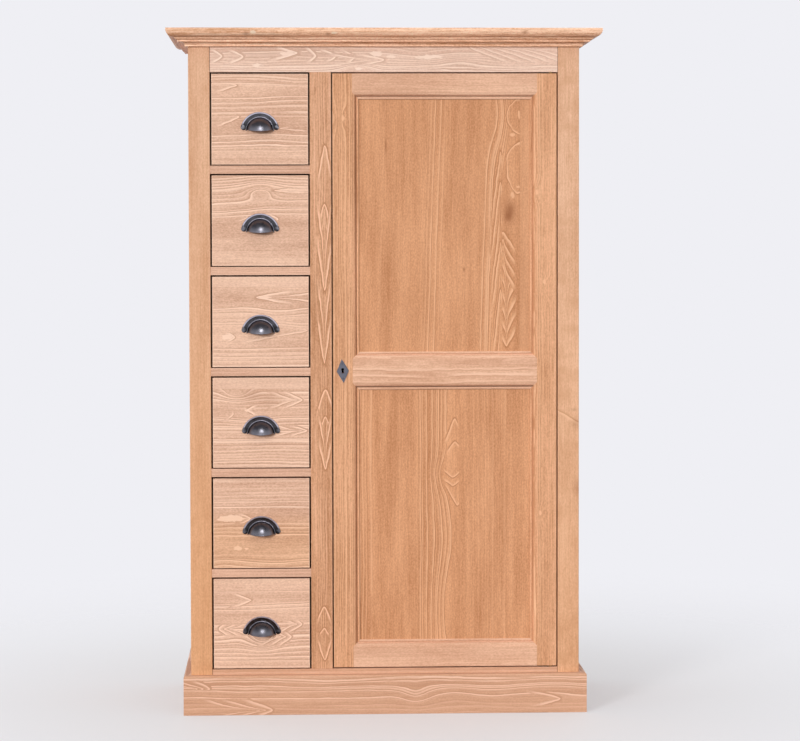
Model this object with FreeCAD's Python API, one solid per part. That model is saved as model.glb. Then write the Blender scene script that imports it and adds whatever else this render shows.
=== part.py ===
"""Chifforobe: a column of small drawers beside one panelled door, in a face-framed softwood carcass.

Sizes are in millimetres. X runs to the right, Y from front to back and Z up. The origin is on the floor,
under the middle of the whole outline.
"""
import FreeCAD, Part
import math
import os

Vector = FreeCAD.Vector
ALONG_X = Vector(1, 0, 0)
ALONG_Y = Vector(0, 1, 0)
ALONG_Z = Vector(0, 0, 1)

# Face frame: three stiles between which the drawers and the door are set in
STILE_W = 52.0
DRAWER_OPENING_W = 242.0
DOOR_OPENING_W = 552.0
OPENING_H = 1455.0
FLOOR_TOP_Z = 110.0
TOP_RAIL_SHOW_H = 62.0
BOTTOM_RAIL_H = 60.0
FRAME_T = 22.0
TENON_L = 20.0
TENON_THICK_SHARE = 1 / 3
TENON_HIGH_SHARE = 0.6

# Carcass boards
CARCASS_D = 450.0
BOARD_T = 20.0
FLOOR_T = 20.0
TOP_T = 20.0
BACK_T = 8.0
BACK_REBATE_W = 10.0
BASE_RAIL_T = 20.0

# Cornice, from the top fillet down to the foot against the carcass
CORNICE_FILLET_H = 4.0
OVOLO_OUT = 17.0
OVOLO_H = 16.5
QUIRK_OUT = 3.0
BEAD_OUT = 8.0
BEAD_H = 7.0
BEAD_FILLET_H = 4.0
STEP_OUT = 5.0
COVE_OUT = 11.0
COVE_H = 6.5
FOOT_OUT = 8.0
FOOT_H = 4.0

# Plinth
PLINTH_H = 97.0
PLINTH_OUT = 18.0
PLINTH_ROUND_R = 6.0

# Gaps: the shadow lines round the door and the drawers, and the play between pieces that slide or rest
GAP = 3.0
DRAWER_GAP = 3.6
DRAWER_FOOT_GAP = 2.2
REST_GAP = 0.3

# Drawers
DRAWER_COUNT = 6
DRAWER_RAIL_T = 20.0
DRAWER_RAIL_D = 60.0
DRAWER_L = 420.0
DRAWER_FRONT_T = 20.0
DRAWER_SIDE_T = 12.0
DRAWER_SIDE_DROP = 8.0
DRAWER_BACK_T = 12.0
DRAWER_BACK_DROP = 6.0
DRAWER_HOUSING_D = 4.0
DRAWER_BOTTOM_T = 6.0
DRAWER_BOTTOM_UP = 8.0
DRAWER_GROOVE_D = 6.0
DOVETAIL_LAP = 6.0
DOVETAIL_COUNT = 4
TAIL_ROOT_SHARE = 0.56
TAIL_TIP_SHARE = 0.72
RUNNER_IN = 22.0
GUIDE_H = 40.0
DRAWER_STOP_W = 40.0
DRAWER_STOP_D = 18.0
DRAWER_STOP_H = 6.0

# Cup pull: a half ring flange on two round feet, with a hollow dome that is open underneath
PULL_RING_R = 47.5
PULL_RING_T = 2.6
PULL_BEVEL = 1.4
PULL_FOOT_R = 7.5
PULL_FOOT_DEG = 14.0
PULL_DROP = 5.0
PULL_SIDES = 24
DOME_R = 32.0
DOME_AXIS_UP = 5.0
DOME_AXIS_IN = 8.0
DOME_LIP_DOWN = 2.0
DOME_WALL = 2.0
DOME_TOP_DEG = 82.0
DOME_STEPS = 5

# Door: stiles and rails with a moulding worked on their inner edges, round two flat panels
DOOR_STILE_FLAT_W = 48.0
DOOR_TOP_FLAT_H = 46.0
DOOR_MID_FLAT_H = 60.0
DOOR_BOTTOM_FLAT_H = 50.0
DOOR_MID_UP = 729.0
DOOR_TENON_L = 18.0
PANEL_FRONT_IN = 10.5
PANEL_T = 7.0
PANEL_TONGUE = 8.0
PANEL_PLAY = 1.0
STICK_QUIRK_IN = 1.2
STICK_OVOLO_W = 8.0
STICK_OVOLO_IN = 6.0
STICK_CUT_W = 2.2
STICK_CUT_IN = 2.0
STICK_BEAD_W = 6.3
STICK_BEAD_IN = 2.2

# Pivot hinges in the ends of the door's right stile
PIVOT_FROM_EDGE = 14.0
PIVOT_IN = 9.0
HINGE_LEAF_L = 36.0
HINGE_LEAF_W = 12.0
HINGE_LEAF_T = 3.0
HINGE_SHOULDER_R = 5.0
HINGE_PIN_R = 3.0
HINGE_PIN_PLAY = 0.05

# Lock on the back of the door's left stile, and its diamond key plate
LOCK_W = 46.0
LOCK_H = 64.0
LOCK_T = 14.0
LOCK_EDGE = 2.0
BOLT_L = 38.0
BOLT_H = 20.0
BOLT_T = 6.0
KEY_FROM_EDGE = 23.5
PLATE_W = 30.0
PLATE_H = 58.0
PLATE_T = 1.6
PLATE_TILT_DEG = 4.5
KEYHOLE_R = 3.7
KEYHOLE_DROP = 9.0
KEYHOLE_NECK_W = 4.2
KEYHOLE_FOOT_W = 5.4

# Wardrobe side
HAT_SPACE_H = 250.0
SHELF_T = 18.0
SHELF_SETBACK = 60.0
BATTEN_W = 18.0
BATTEN_H = 28.0
HANGING_RAIL_R = 12.5
HANGING_RAIL_DOWN = 75.0
HANGING_RAIL_PLAY = 0.2
SOCKET_WALL = 4.0
SOCKET_L = 14.0
SOCKET_FLANGE_W = 9.0
SOCKET_FLANGE_T = 4.0
DOOR_STOP_FROM_EDGE = 60.0
DOOR_STOP_W = 50.0
DOOR_STOP_D = 18.0
DOOR_STOP_REACH = 14.0
DOOR_STOP_SEAT = 30.0

# How far a cutting tool passes the face that it opens, and where a quarter round's middle lies on each side
OVERRUN = 5.0
QUARTER_SHARE = math.cos(math.radians(45))

# Places across the front
carcass_w = 3 * STILE_W + DRAWER_OPENING_W + DOOR_OPENING_W
left_x = -carcass_w / 2
right_x = carcass_w / 2
drawer_x = (left_x + STILE_W, left_x + STILE_W + DRAWER_OPENING_W)
centre_x = (drawer_x[1], drawer_x[1] + STILE_W)
door_x = (centre_x[1], centre_x[1] + DOOR_OPENING_W)
partition_mid_x = (centre_x[0] + centre_x[1]) / 2
partition_x = (partition_mid_x - BOARD_T / 2, partition_mid_x + BOARD_T / 2)
inner_x = (left_x + BOARD_T, right_x - BOARD_T)

# Places from front to back
cornice_out = FOOT_OUT + COVE_OUT + STEP_OUT + BEAD_OUT + QUIRK_OUT + OVOLO_OUT
front_y = (cornice_out - CARCASS_D) / 2
back_y = front_y + CARCASS_D
frame_y = (front_y, front_y + FRAME_T)
inner_y = (frame_y[1], back_y - BACK_T)

# Places up the height
cornice_h = FOOT_H + COVE_H + BEAD_FILLET_H + BEAD_H + OVOLO_H + CORNICE_FILLET_H
opening_z = (FLOOR_TOP_Z, FLOOR_TOP_Z + OPENING_H)
cornice_z = (opening_z[1] + TOP_RAIL_SHOW_H, opening_z[1] + TOP_RAIL_SHOW_H + cornice_h)
carcass_z = (0, cornice_z[1] - TOP_T)
floor_z = (FLOOR_TOP_Z - FLOOR_T, FLOOR_TOP_Z)
drawer_opening_h = (OPENING_H - (DRAWER_COUNT - 1) * DRAWER_RAIL_T) / DRAWER_COUNT
drawer_pitch = drawer_opening_h + DRAWER_RAIL_T
shelf_z = (opening_z[1] - HAT_SPACE_H - SHELF_T, opening_z[1] - HAT_SPACE_H)

# Places on the door
door_t = FRAME_T - REST_GAP
door_face_x = (door_x[0] + GAP, door_x[1] - GAP)
door_face_z = (opening_z[0] + GAP, opening_z[1] - GAP)
door_y = (front_y, front_y + door_t)
stick_w = STICK_OVOLO_W + STICK_CUT_W + STICK_BEAD_W
flat_x = (door_face_x[0] + DOOR_STILE_FLAT_W, door_face_x[1] - DOOR_STILE_FLAT_W)
mid_rail_z = FLOOR_TOP_Z + DOOR_MID_UP
mid_flat_z = (mid_rail_z - DOOR_MID_FLAT_H / 2, mid_rail_z + DOOR_MID_FLAT_H / 2)
upper_flat_z = (mid_flat_z[1], door_face_z[1] - DOOR_TOP_FLAT_H)
lower_flat_z = (door_face_z[0] + DOOR_BOTTOM_FLAT_H, mid_flat_z[0])
panel_y = (front_y + PANEL_FRONT_IN, front_y + PANEL_FRONT_IN + PANEL_T)
pivot_x = door_face_x[1] - PIVOT_FROM_EDGE
pivot_y = front_y + PIVOT_IN
key_x = door_face_x[0] + KEY_FROM_EDGE


def drawer_opening_z(level):
    """Low and high edge of a drawer's opening, counted from the bottom one, level 0."""
    low = opening_z[0] + level * drawer_pitch
    return (low, low + drawer_opening_h)


def box(x, y, z):
    """Board between a low and a high place on each axis."""
    return Part.makeBox(x[1] - x[0], y[1] - y[0], z[1] - z[0], Vector(x[0], y[0], z[0]))


def prism(corners, push):
    """Solid with straight sides, from its corners in one plane."""
    return Part.Face(Part.makePolygon(corners + corners[:1])).extrude(push)


def outline(place, path):
    """Face inside a closed path. A step is a corner, or an arc given as its middle and its end."""
    edges = []
    last = path[0]
    for step in path[1:] + path[:1]:
        if isinstance(step[0], tuple):
            middle, end = step
            edges.append(Part.Arc(place(*last), place(*middle), place(*end)).toShape())
        else:
            end = step
            edges.append(Part.LineSegment(place(*last), place(*end)).toShape())
        last = end
    return Part.Face(Part.Wire(edges))


def quarter_round(centre, start, end):
    """Arc of a quarter round or a hollow: its middle, found from the two sides at its centre, and its end."""
    middle = tuple(c + ((s - c) + (e - c)) * QUARTER_SHARE for c, s, e in zip(centre, start, end))
    return (middle, end)


def middle_part(span, share):
    """The middle share of a span."""
    centre = (span[0] + span[1]) / 2
    half = (span[1] - span[0]) * share / 2
    return (centre - half, centre + half)


def cut_all(shape, tools):
    """One solid, less each of the tools."""
    for tool in tools:
        shape = shape.cut(tool)
    return shape.Solids[0]


def join(shape, others):
    """One solid from pieces that share faces."""
    return shape.fuse(others).removeSplitter().Solids[0]


def save(node, *solids):
    """Write a node, as one solid or as a group of alike ones."""
    shape = solids[0] if len(solids) == 1 else Part.makeCompound(list(solids))
    shape.exportStep("parts/" + node + ".step")


def rail_across(x, z, depth):
    """Rail between two stiles, with a tenon at each end."""
    board = box(x, (front_y, front_y + depth), z)
    tenon_x = (x[0] - TENON_L, x[1] + TENON_L)
    tenon = box(tenon_x, middle_part(frame_y, TENON_THICK_SHARE), middle_part(z, TENON_HIGH_SHARE))
    return join(board, [tenon])


def hinge(case_z, up):
    """Pivot hinge at one end of the door: leaf with pin for the frame, bored leaf for the door, mortises."""
    rise = ALONG_Z * up
    radius = HINGE_LEAF_W / 2
    tail_x = pivot_x - HINGE_LEAF_L + radius

    def leaf(z):
        path = [
            (tail_x, pivot_y - radius),
            (pivot_x, pivot_y - radius),
            ((pivot_x + radius, pivot_y), (pivot_x, pivot_y + radius)),
            (tail_x, pivot_y + radius),
        ]
        return outline(lambda x, y: Vector(x, y, z), path)

    centre = Vector(pivot_x, pivot_y, case_z)
    door_end_z = case_z + GAP * up
    frame_leaf = leaf(case_z).extrude(rise * -HINGE_LEAF_T)
    shoulder = Part.makeCylinder(HINGE_SHOULDER_R, GAP - REST_GAP, centre, rise)
    pin = Part.makeCylinder(HINGE_PIN_R, GAP + HINGE_LEAF_T - REST_GAP, centre, rise)
    door_leaf = leaf(door_end_z).extrude(rise * HINGE_LEAF_T)
    bore = Part.makeCylinder(HINGE_PIN_R + HINGE_PIN_PLAY, GAP + HINGE_LEAF_T + OVERRUN, centre, rise)
    return join(frame_leaf, [shoulder, pin]), cut_all(door_leaf, [bore]), frame_leaf, door_leaf


bottom_hinge = hinge(opening_z[0], 1)
top_hinge = hinge(opening_z[1], -1)


def make_frame():
    """Stiles and rails of the face frame, tenoned together, with the frame's hinge leaves."""
    rail_x = (drawer_x[0], door_x[1])
    top_rail = rail_across(rail_x, (opening_z[1], carcass_z[1]), FRAME_T)
    bottom_rail = rail_across(rail_x, (opening_z[0] - BOTTOM_RAIL_H, opening_z[0]), FRAME_T)
    drawer_rails = []
    for level in range(1, DRAWER_COUNT):
        top = drawer_opening_z(level)[0]
        drawer_rails.append(rail_across(drawer_x, (top - DRAWER_RAIL_T, top), DRAWER_RAIL_D))

    tenon_z = (opening_z[0] - TENON_L, opening_z[1] + TENON_L)
    centre_tenon = box(
        middle_part(centre_x, TENON_HIGH_SHARE), middle_part(frame_y, TENON_THICK_SHARE), tenon_z
    )
    centre_stile = join(box(centre_x, frame_y, opening_z), [centre_tenon])

    left_rails = [top_rail, bottom_rail] + drawer_rails
    save("stile_left", cut_all(box((left_x, drawer_x[0]), frame_y, carcass_z), left_rails))
    save("stile_right", cut_all(box((door_x[1], right_x), frame_y, carcass_z), [top_rail, bottom_rail]))
    save("stile_centre", cut_all(centre_stile, drawer_rails))
    save("top_rail", cut_all(top_rail, [centre_stile, top_hinge[2]]))
    save("bottom_rail", cut_all(bottom_rail, [centre_stile, bottom_hinge[2]]))
    save("drawer_rails", *drawer_rails)
    save("hinge_frame_leaves", bottom_hinge[0], top_hinge[0])


def make_carcass():
    """Sides, partition, floor, top, back and the rail under the floor."""
    back_x = (inner_x[0] - BACK_REBATE_W, inner_x[1] + BACK_REBATE_W)
    back = box(back_x, (inner_y[1], back_y), (floor_z[0], carcass_z[1]))
    side_y = (frame_y[1], back_y)
    save("side_panel_left", cut_all(box((left_x, inner_x[0]), side_y, carcass_z), [back]))
    save("side_panel_right", cut_all(box((inner_x[1], right_x), side_y, carcass_z), [back]))
    save("partition_panel", box(partition_x, inner_y, (floor_z[1], carcass_z[1])))
    save("carcass_floor", box(inner_x, inner_y, floor_z))
    save("top_board", box((left_x, right_x), (front_y, back_y), (carcass_z[1], cornice_z[1])))
    save("back_panel", back)
    save("base_rail_back", box(inner_x, (inner_y[1] - BASE_RAIL_T, inner_y[1]), (0, floor_z[0])))


def wrap_round(profile, out, z):
    """Moulding round the front and both sides of the carcass, mitred at the two front corners."""
    side_push = Vector(0, CARCASS_D + out, 0)
    runs = {
        "front": (
            lambda o, h: Vector(left_x - out, front_y - o, h),
            Vector(carcass_w + 2 * out, 0, 0),
            [
                (left_x, front_y),
                (right_x, front_y),
                (right_x + out, front_y - out),
                (left_x - out, front_y - out),
            ],
        ),
        "left": (
            lambda o, h: Vector(left_x - o, front_y - out, h),
            side_push,
            [(left_x, front_y), (left_x - out, front_y - out), (left_x - out, back_y), (left_x, back_y)],
        ),
        "right": (
            lambda o, h: Vector(right_x + o, front_y - out, h),
            side_push,
            [(right_x, front_y), (right_x + out, front_y - out), (right_x + out, back_y), (right_x, back_y)],
        ),
    }
    pieces = {}
    for run, (place, push, plan) in runs.items():
        mitred_block = prism([Vector(x, y, z[0]) for x, y in plan], ALONG_Z * (z[1] - z[0]))
        pieces[run] = outline(place, profile).extrude(push).common(mitred_block).Solids[0]
    return pieces


def make_mouldings():
    """Cornice with its ovolo, bead and cove, and the round-edged plinth."""
    top = cornice_z[1]
    ovolo_in = cornice_out - OVOLO_OUT
    bead_top_in = ovolo_in - QUIRK_OUT
    bead_in = bead_top_in - BEAD_OUT
    cove_top_in = bead_in - STEP_OUT
    ovolo_z = (top - CORNICE_FILLET_H - OVOLO_H, top - CORNICE_FILLET_H)
    bead_z = ovolo_z[0] - BEAD_H
    step_z = bead_z - BEAD_FILLET_H
    cove_z = step_z - COVE_H
    profile = [
        (0, top),
        (cornice_out, top),
        (cornice_out, ovolo_z[1]),
        quarter_round((ovolo_in, ovolo_z[1]), (cornice_out, ovolo_z[1]), (ovolo_in, ovolo_z[0])),
        (bead_top_in, ovolo_z[0]),
        quarter_round((bead_in, ovolo_z[0]), (bead_top_in, ovolo_z[0]), (bead_in, bead_z)),
        (bead_in, step_z),
        (cove_top_in, step_z),
        quarter_round((cove_top_in, cove_z), (cove_top_in, step_z), (FOOT_OUT, cove_z)),
        (FOOT_OUT, cornice_z[0]),
        (0, cornice_z[0]),
    ]
    for run, piece in wrap_round(profile, cornice_out, cornice_z).items():
        save("cornice_" + run, piece)

    round_out = PLINTH_OUT - PLINTH_ROUND_R
    round_z = PLINTH_H - PLINTH_ROUND_R
    profile = [
        (0, 0),
        (PLINTH_OUT, 0),
        (PLINTH_OUT, round_z),
        quarter_round((round_out, round_z), (PLINTH_OUT, round_z), (round_out, PLINTH_H)),
        (0, PLINTH_H),
    ]
    for run, piece in wrap_round(profile, PLINTH_OUT, (0, PLINTH_H)).items():
        save("plinth_" + run, piece)


def make_drawer_carriage():
    """Runners under the drawers, kickers over the top one, side guides, and stops behind the fronts."""
    runner_x = ((inner_x[0], drawer_x[0] + RUNNER_IN), (drawer_x[1] - RUNNER_IN, partition_x[0]))
    guide_in = DRAWER_GAP - REST_GAP
    guide_x = ((inner_x[0], drawer_x[0] + guide_in), (drawer_x[1] - guide_in, partition_x[0]))
    behind_rail_y = (front_y + DRAWER_RAIL_D, inner_y[1])
    stop_y = front_y + DRAWER_FRONT_T + REST_GAP
    stop_mid_x = (drawer_x[0] + drawer_x[1]) / 2
    stop_x = (stop_mid_x - DRAWER_STOP_W / 2, stop_mid_x + DRAWER_STOP_W / 2)
    runners = []
    guides = []
    stops = []
    for level in range(DRAWER_COUNT):
        low = drawer_opening_z(level)[0]
        stops.append(box(stop_x, (stop_y, stop_y + DRAWER_STOP_D), (low, low + DRAWER_STOP_H)))
        for x in guide_x:
            guides.append(box(x, behind_rail_y, (low, low + GUIDE_H)))
        if level > 0:
            for x in runner_x:
                runners.append(box(x, behind_rail_y, (low - DRAWER_RAIL_T, low)))
    kicker_z = (opening_z[1], opening_z[1] + DRAWER_RAIL_T)
    kickers = [box(x, inner_y, kicker_z) for x in runner_x]
    save("drawer_runners", *runners)
    save("drawer_kickers", *kickers)
    save("drawer_guides", *guides)
    save("drawer_stops", *stops)


def drawer_side(outer_x, inward, side_z, rear_y):
    """Drawer side with a row of dovetails on its front end."""
    shoulder_y = front_y + DRAWER_FRONT_T
    tip_y = front_y + DOVETAIL_LAP
    pitch = (side_z[1] - side_z[0]) / DOVETAIL_COUNT
    corners = [(rear_y, side_z[0]), (shoulder_y, side_z[0])]
    for tail in range(DOVETAIL_COUNT):
        tail_z = (side_z[0] + tail * pitch, side_z[0] + (tail + 1) * pitch)
        root = middle_part(tail_z, TAIL_ROOT_SHARE)
        tip = middle_part(tail_z, TAIL_TIP_SHARE)
        corners += [(shoulder_y, root[0]), (tip_y, tip[0]), (tip_y, tip[1]), (shoulder_y, root[1])]
    corners += [(shoulder_y, side_z[1]), (rear_y, side_z[1])]
    return prism([Vector(outer_x, y, z) for y, z in corners], ALONG_X * (inward * DRAWER_SIDE_T))


def faceted(levels, centre):
    """Round form that stands on the drawer front: flat facets between levels given as (out, radius)."""
    turns = [2 * math.pi * side / PULL_SIDES for side in range(PULL_SIDES)]
    rings = []
    for out, radius in levels:
        arms = [Vector(math.cos(turn), 0, math.sin(turn)) for turn in turns]
        rings.append([centre - ALONG_Y * out + arm * radius for arm in arms])
    facets = [rings[0], rings[-1]]
    for lower, upper in zip(rings, rings[1:]):
        for side in range(PULL_SIDES):
            facets.append([lower[side - 1], lower[side], upper[side], upper[side - 1]])
    faces = [Part.Face(Part.makePolygon(corners + corners[:1])) for corners in facets]
    return Part.makeSolid(Part.makeShell(faces))


def dome_levels(radius, base):
    """Levels of a ball that is sunk in the drawer front, from a base above its centre to near its top."""
    levels = []
    first = math.asin(base / radius)
    last = math.radians(DOME_TOP_DEG)
    for step in range(DOME_STEPS + 1):
        rise = first + (last - first) * step / DOME_STEPS
        levels.append((radius * math.sin(rise) - DOME_AXIS_IN, radius * math.cos(rise)))
    return levels


def make_cup_pull():
    """Cup pull about its ring's centre: half ring flange, rounded feet, and a dome with an open underside."""
    foot_mid_r = PULL_RING_R - PULL_FOOT_R
    foot_angle = math.radians(PULL_FOOT_DEG)
    foot_z = foot_mid_r * math.sin(foot_angle)
    reach = PULL_RING_R + OVERRUN

    def plate(radius, centre):
        return faceted([(0, radius), (PULL_RING_T, radius - PULL_BEVEL)], centre)

    above_feet = box((-reach, reach), (-reach, reach), (foot_z, reach))
    ring = plate(PULL_RING_R, Vector(0, 0, 0)).common(above_feet)
    feet = []
    for side in (-1, 1):
        feet.append(plate(PULL_FOOT_R, Vector(side * foot_mid_r * math.cos(foot_angle), 0, foot_z)))
    dome_axis = ALONG_Z * DOME_AXIS_UP
    above_lip = box((-reach, reach), (-reach, 0), (DOME_AXIS_UP - DOME_LIP_DOWN, reach))
    dome = faceted(dome_levels(DOME_R, DOME_AXIS_IN), dome_axis).common(above_lip)
    hollow = faceted(dome_levels(DOME_R - DOME_WALL, 0), dome_axis)
    return cut_all(join(ring, feet + [dome]), [hollow])


def make_drawers():
    """The drawers, numbered from the top: dovetailed box with a grooved-in bottom, front and cup pull."""
    pull = make_cup_pull()
    foot_angle = math.radians(PULL_FOOT_DEG)
    pull_low = (PULL_RING_R - PULL_FOOT_R) * math.sin(foot_angle) - PULL_FOOT_R
    pull_mid = (pull_low + PULL_RING_R) / 2
    front_x = (drawer_x[0] + DRAWER_GAP, drawer_x[1] - DRAWER_GAP)
    side_inner_x = (front_x[0] + DRAWER_SIDE_T, front_x[1] - DRAWER_SIDE_T)
    shoulder_y = front_y + DRAWER_FRONT_T
    rear_y = front_y + DRAWER_L
    for number in range(1, DRAWER_COUNT + 1):
        opening = drawer_opening_z(DRAWER_COUNT - number)
        front_z = (opening[0] + DRAWER_FOOT_GAP, opening[1] - DRAWER_GAP)
        side_z = (opening[0] + REST_GAP, front_z[1] - DRAWER_SIDE_DROP)
        bottom_z = (side_z[0] + DRAWER_BOTTOM_UP, side_z[0] + DRAWER_BOTTOM_UP + DRAWER_BOTTOM_T)
        bottom = box(
            (side_inner_x[0] - DRAWER_GROOVE_D, side_inner_x[1] + DRAWER_GROOVE_D),
            (shoulder_y - DRAWER_GROOVE_D, rear_y),
            bottom_z,
        )
        back = box(
            (side_inner_x[0] - DRAWER_HOUSING_D, side_inner_x[1] + DRAWER_HOUSING_D),
            (rear_y - 2 * DRAWER_BACK_T, rear_y - DRAWER_BACK_T),
            (bottom_z[1], side_z[1] - DRAWER_BACK_DROP),
        )
        left = cut_all(drawer_side(front_x[0], 1, side_z, rear_y), [bottom, back])
        right = cut_all(drawer_side(front_x[1], -1, side_z, rear_y), [bottom, back])
        front = cut_all(box(front_x, (front_y, shoulder_y), front_z), [bottom, left, right])
        placed_pull = pull.copy()
        mid = Vector((front_x[0] + front_x[1]) / 2, front_y, (front_z[0] + front_z[1]) / 2)
        placed_pull.translate(mid - ALONG_Z * (PULL_DROP + pull_mid))
        save("drawer_front_%d" % number, front)
        save("drawer_box_%d" % number, left, right, back, bottom)
        save("cup_pull_%d" % number, placed_pull)


def sticking(start, end, inward):
    """Ovolo and bead worked on one edge of a door opening, from corner to corner, with mitred ends."""
    length = end - start
    along = Vector(length).normalize()
    back = door_t
    cut_in = STICK_QUIRK_IN + STICK_OVOLO_IN
    bead_u = STICK_OVOLO_W + STICK_CUT_W
    bead_v = cut_in + STICK_CUT_IN - STICK_BEAD_IN
    path = [
        (0, back),
        (0, STICK_QUIRK_IN),
        quarter_round((0, cut_in), (0, STICK_QUIRK_IN), (STICK_OVOLO_W, cut_in)),
        (STICK_OVOLO_W, cut_in + STICK_CUT_IN),
        (bead_u, cut_in + STICK_CUT_IN),
        ((bead_u + STICK_BEAD_W / 2, bead_v), (stick_w, cut_in + STICK_CUT_IN)),
        (stick_w, back),
    ]
    bar = outline(lambda u, v: start + inward * u + ALONG_Y * v, path).extrude(length)
    mitre = inward * stick_w + along * stick_w
    far_mitre = inward * stick_w - along * stick_w
    block = prism([start, end, end + far_mitre, start + mitre], ALONG_Y * back)
    return bar.common(block).Solids[0]


def keyhole(y):
    """Keyhole through what lies between two depths: round eye over a flared slot, tilted with its plate."""
    eye = Vector(key_x, y[0], mid_rail_z + KEYHOLE_R)
    depth = ALONG_Y * (y[1] - y[0])
    foot_z = -KEYHOLE_DROP
    slot = prism(
        [
            eye + Vector(-KEYHOLE_NECK_W / 2, 0, 0),
            eye + Vector(KEYHOLE_NECK_W / 2, 0, 0),
            eye + Vector(KEYHOLE_FOOT_W / 2, 0, foot_z),
            eye + Vector(-KEYHOLE_FOOT_W / 2, 0, foot_z),
        ],
        depth,
    )
    hole = Part.makeCylinder(KEYHOLE_R, y[1] - y[0], eye, ALONG_Y).fuse(slot)
    hole.rotate(Vector(key_x, 0, mid_rail_z), -ALONG_Y, PLATE_TILT_DEG)
    return hole


def make_door():
    """Door frame with mitred mouldings, two panels, hinge leaves, lock and key plate."""
    openings = {"upper": upper_flat_z, "lower": lower_flat_z}
    strips = {}
    grooves = []
    for name, flat_z in openings.items():
        corner = {(i, k): Vector(flat_x[i], front_y, flat_z[k]) for i in (0, 1) for k in (0, 1)}
        strips[name, "left"] = sticking(corner[0, 0], corner[0, 1], ALONG_X)
        strips[name, "right"] = sticking(corner[1, 0], corner[1, 1], -ALONG_X)
        strips[name, "bottom"] = sticking(corner[0, 0], corner[1, 0], ALONG_Z)
        strips[name, "top"] = sticking(corner[0, 1], corner[1, 1], -ALONG_Z)
        edge = stick_w - PANEL_TONGUE
        deep = edge - PANEL_PLAY
        panel_x = (flat_x[0] + edge, flat_x[1] - edge)
        save("door_panel_" + name, box(panel_x, panel_y, (flat_z[0] + edge, flat_z[1] - edge)))
        groove_x = (flat_x[0] + deep, flat_x[1] - deep)
        grooves.append(box(groove_x, panel_y, (flat_z[0] + deep, flat_z[1] - deep)))

    rail_z = {
        "top": (upper_flat_z[1], door_face_z[1]),
        "middle": mid_flat_z,
        "bottom": (door_face_z[0], lower_flat_z[0]),
    }
    rail_strips = {
        "top": [strips["upper", "top"]],
        "middle": [strips["upper", "bottom"], strips["lower", "top"]],
        "bottom": [strips["lower", "bottom"]],
    }
    tenon_x = (flat_x[0] - DOOR_TENON_L, flat_x[1] + DOOR_TENON_L)
    mortises = [bottom_hinge[3], top_hinge[3]]
    rails = []
    for name, z in rail_z.items():
        tenon = box(tenon_x, panel_y, middle_part(z, TENON_HIGH_SHARE))
        rails.append(cut_all(join(box(flat_x, door_y, z), rail_strips[name] + [tenon]), grooves + mortises))
        save("door_rail_" + name, rails[-1])

    case_y = (door_y[1], door_y[1] + LOCK_T)
    lock_mid_y = (case_y[0] + case_y[1]) / 2
    through_door = keyhole((front_y - OVERRUN, lock_mid_y))
    left_flat = box((door_face_x[0], flat_x[0]), door_y, door_face_z)
    left_stile = join(left_flat, [strips["upper", "left"], strips["lower", "left"]])
    save("door_stile_left", cut_all(left_stile, grooves + rails + [through_door]))
    right_flat = box((flat_x[1], door_face_x[1]), door_y, door_face_z)
    right_stile = join(right_flat, [strips["upper", "right"], strips["lower", "right"]])
    save("door_stile_right", cut_all(right_stile, grooves + rails + mortises))
    save("hinge_door_leaves", bottom_hinge[1], top_hinge[1])

    lock_x = (door_face_x[0], door_face_x[0] + LOCK_W)
    lock_z = (mid_rail_z - LOCK_H / 2, mid_rail_z + LOCK_H / 2)
    bolt_x = (lock_x[0], lock_x[0] + BOLT_L)
    bolt_y = (lock_mid_y - BOLT_T / 2, lock_mid_y + BOLT_T / 2)
    bolt_z = (mid_rail_z - BOLT_H / 2, mid_rail_z + BOLT_H / 2)
    slot = box(
        (lock_x[0] - OVERRUN, bolt_x[1] + REST_GAP),
        (bolt_y[0] - REST_GAP, bolt_y[1] + REST_GAP),
        (bolt_z[0] - REST_GAP, bolt_z[1] + REST_GAP),
    )
    case = box(lock_x, case_y, lock_z)
    rear_edges = [e for e in case.Edges if all(abs(v.Y - case_y[1]) < REST_GAP for v in e.Vertexes)]
    save("lock_case", cut_all(case.makeChamfer(LOCK_EDGE, rear_edges), [slot, through_door]))
    save("lock_bolt", box(bolt_x, bolt_y, bolt_z))

    plate_mid = Vector(key_x, front_y, mid_rail_z)
    half_w = ALONG_X * (PLATE_W / 2)
    half_h = ALONG_Z * (PLATE_H / 2)
    plate = prism([plate_mid - half_w, plate_mid + half_h, plate_mid + half_w, plate_mid - half_h],
                  ALONG_Y * -PLATE_T)
    plate.rotate(plate_mid, -ALONG_Y, PLATE_TILT_DEG)
    save("key_plate", cut_all(plate, [through_door]))


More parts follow.
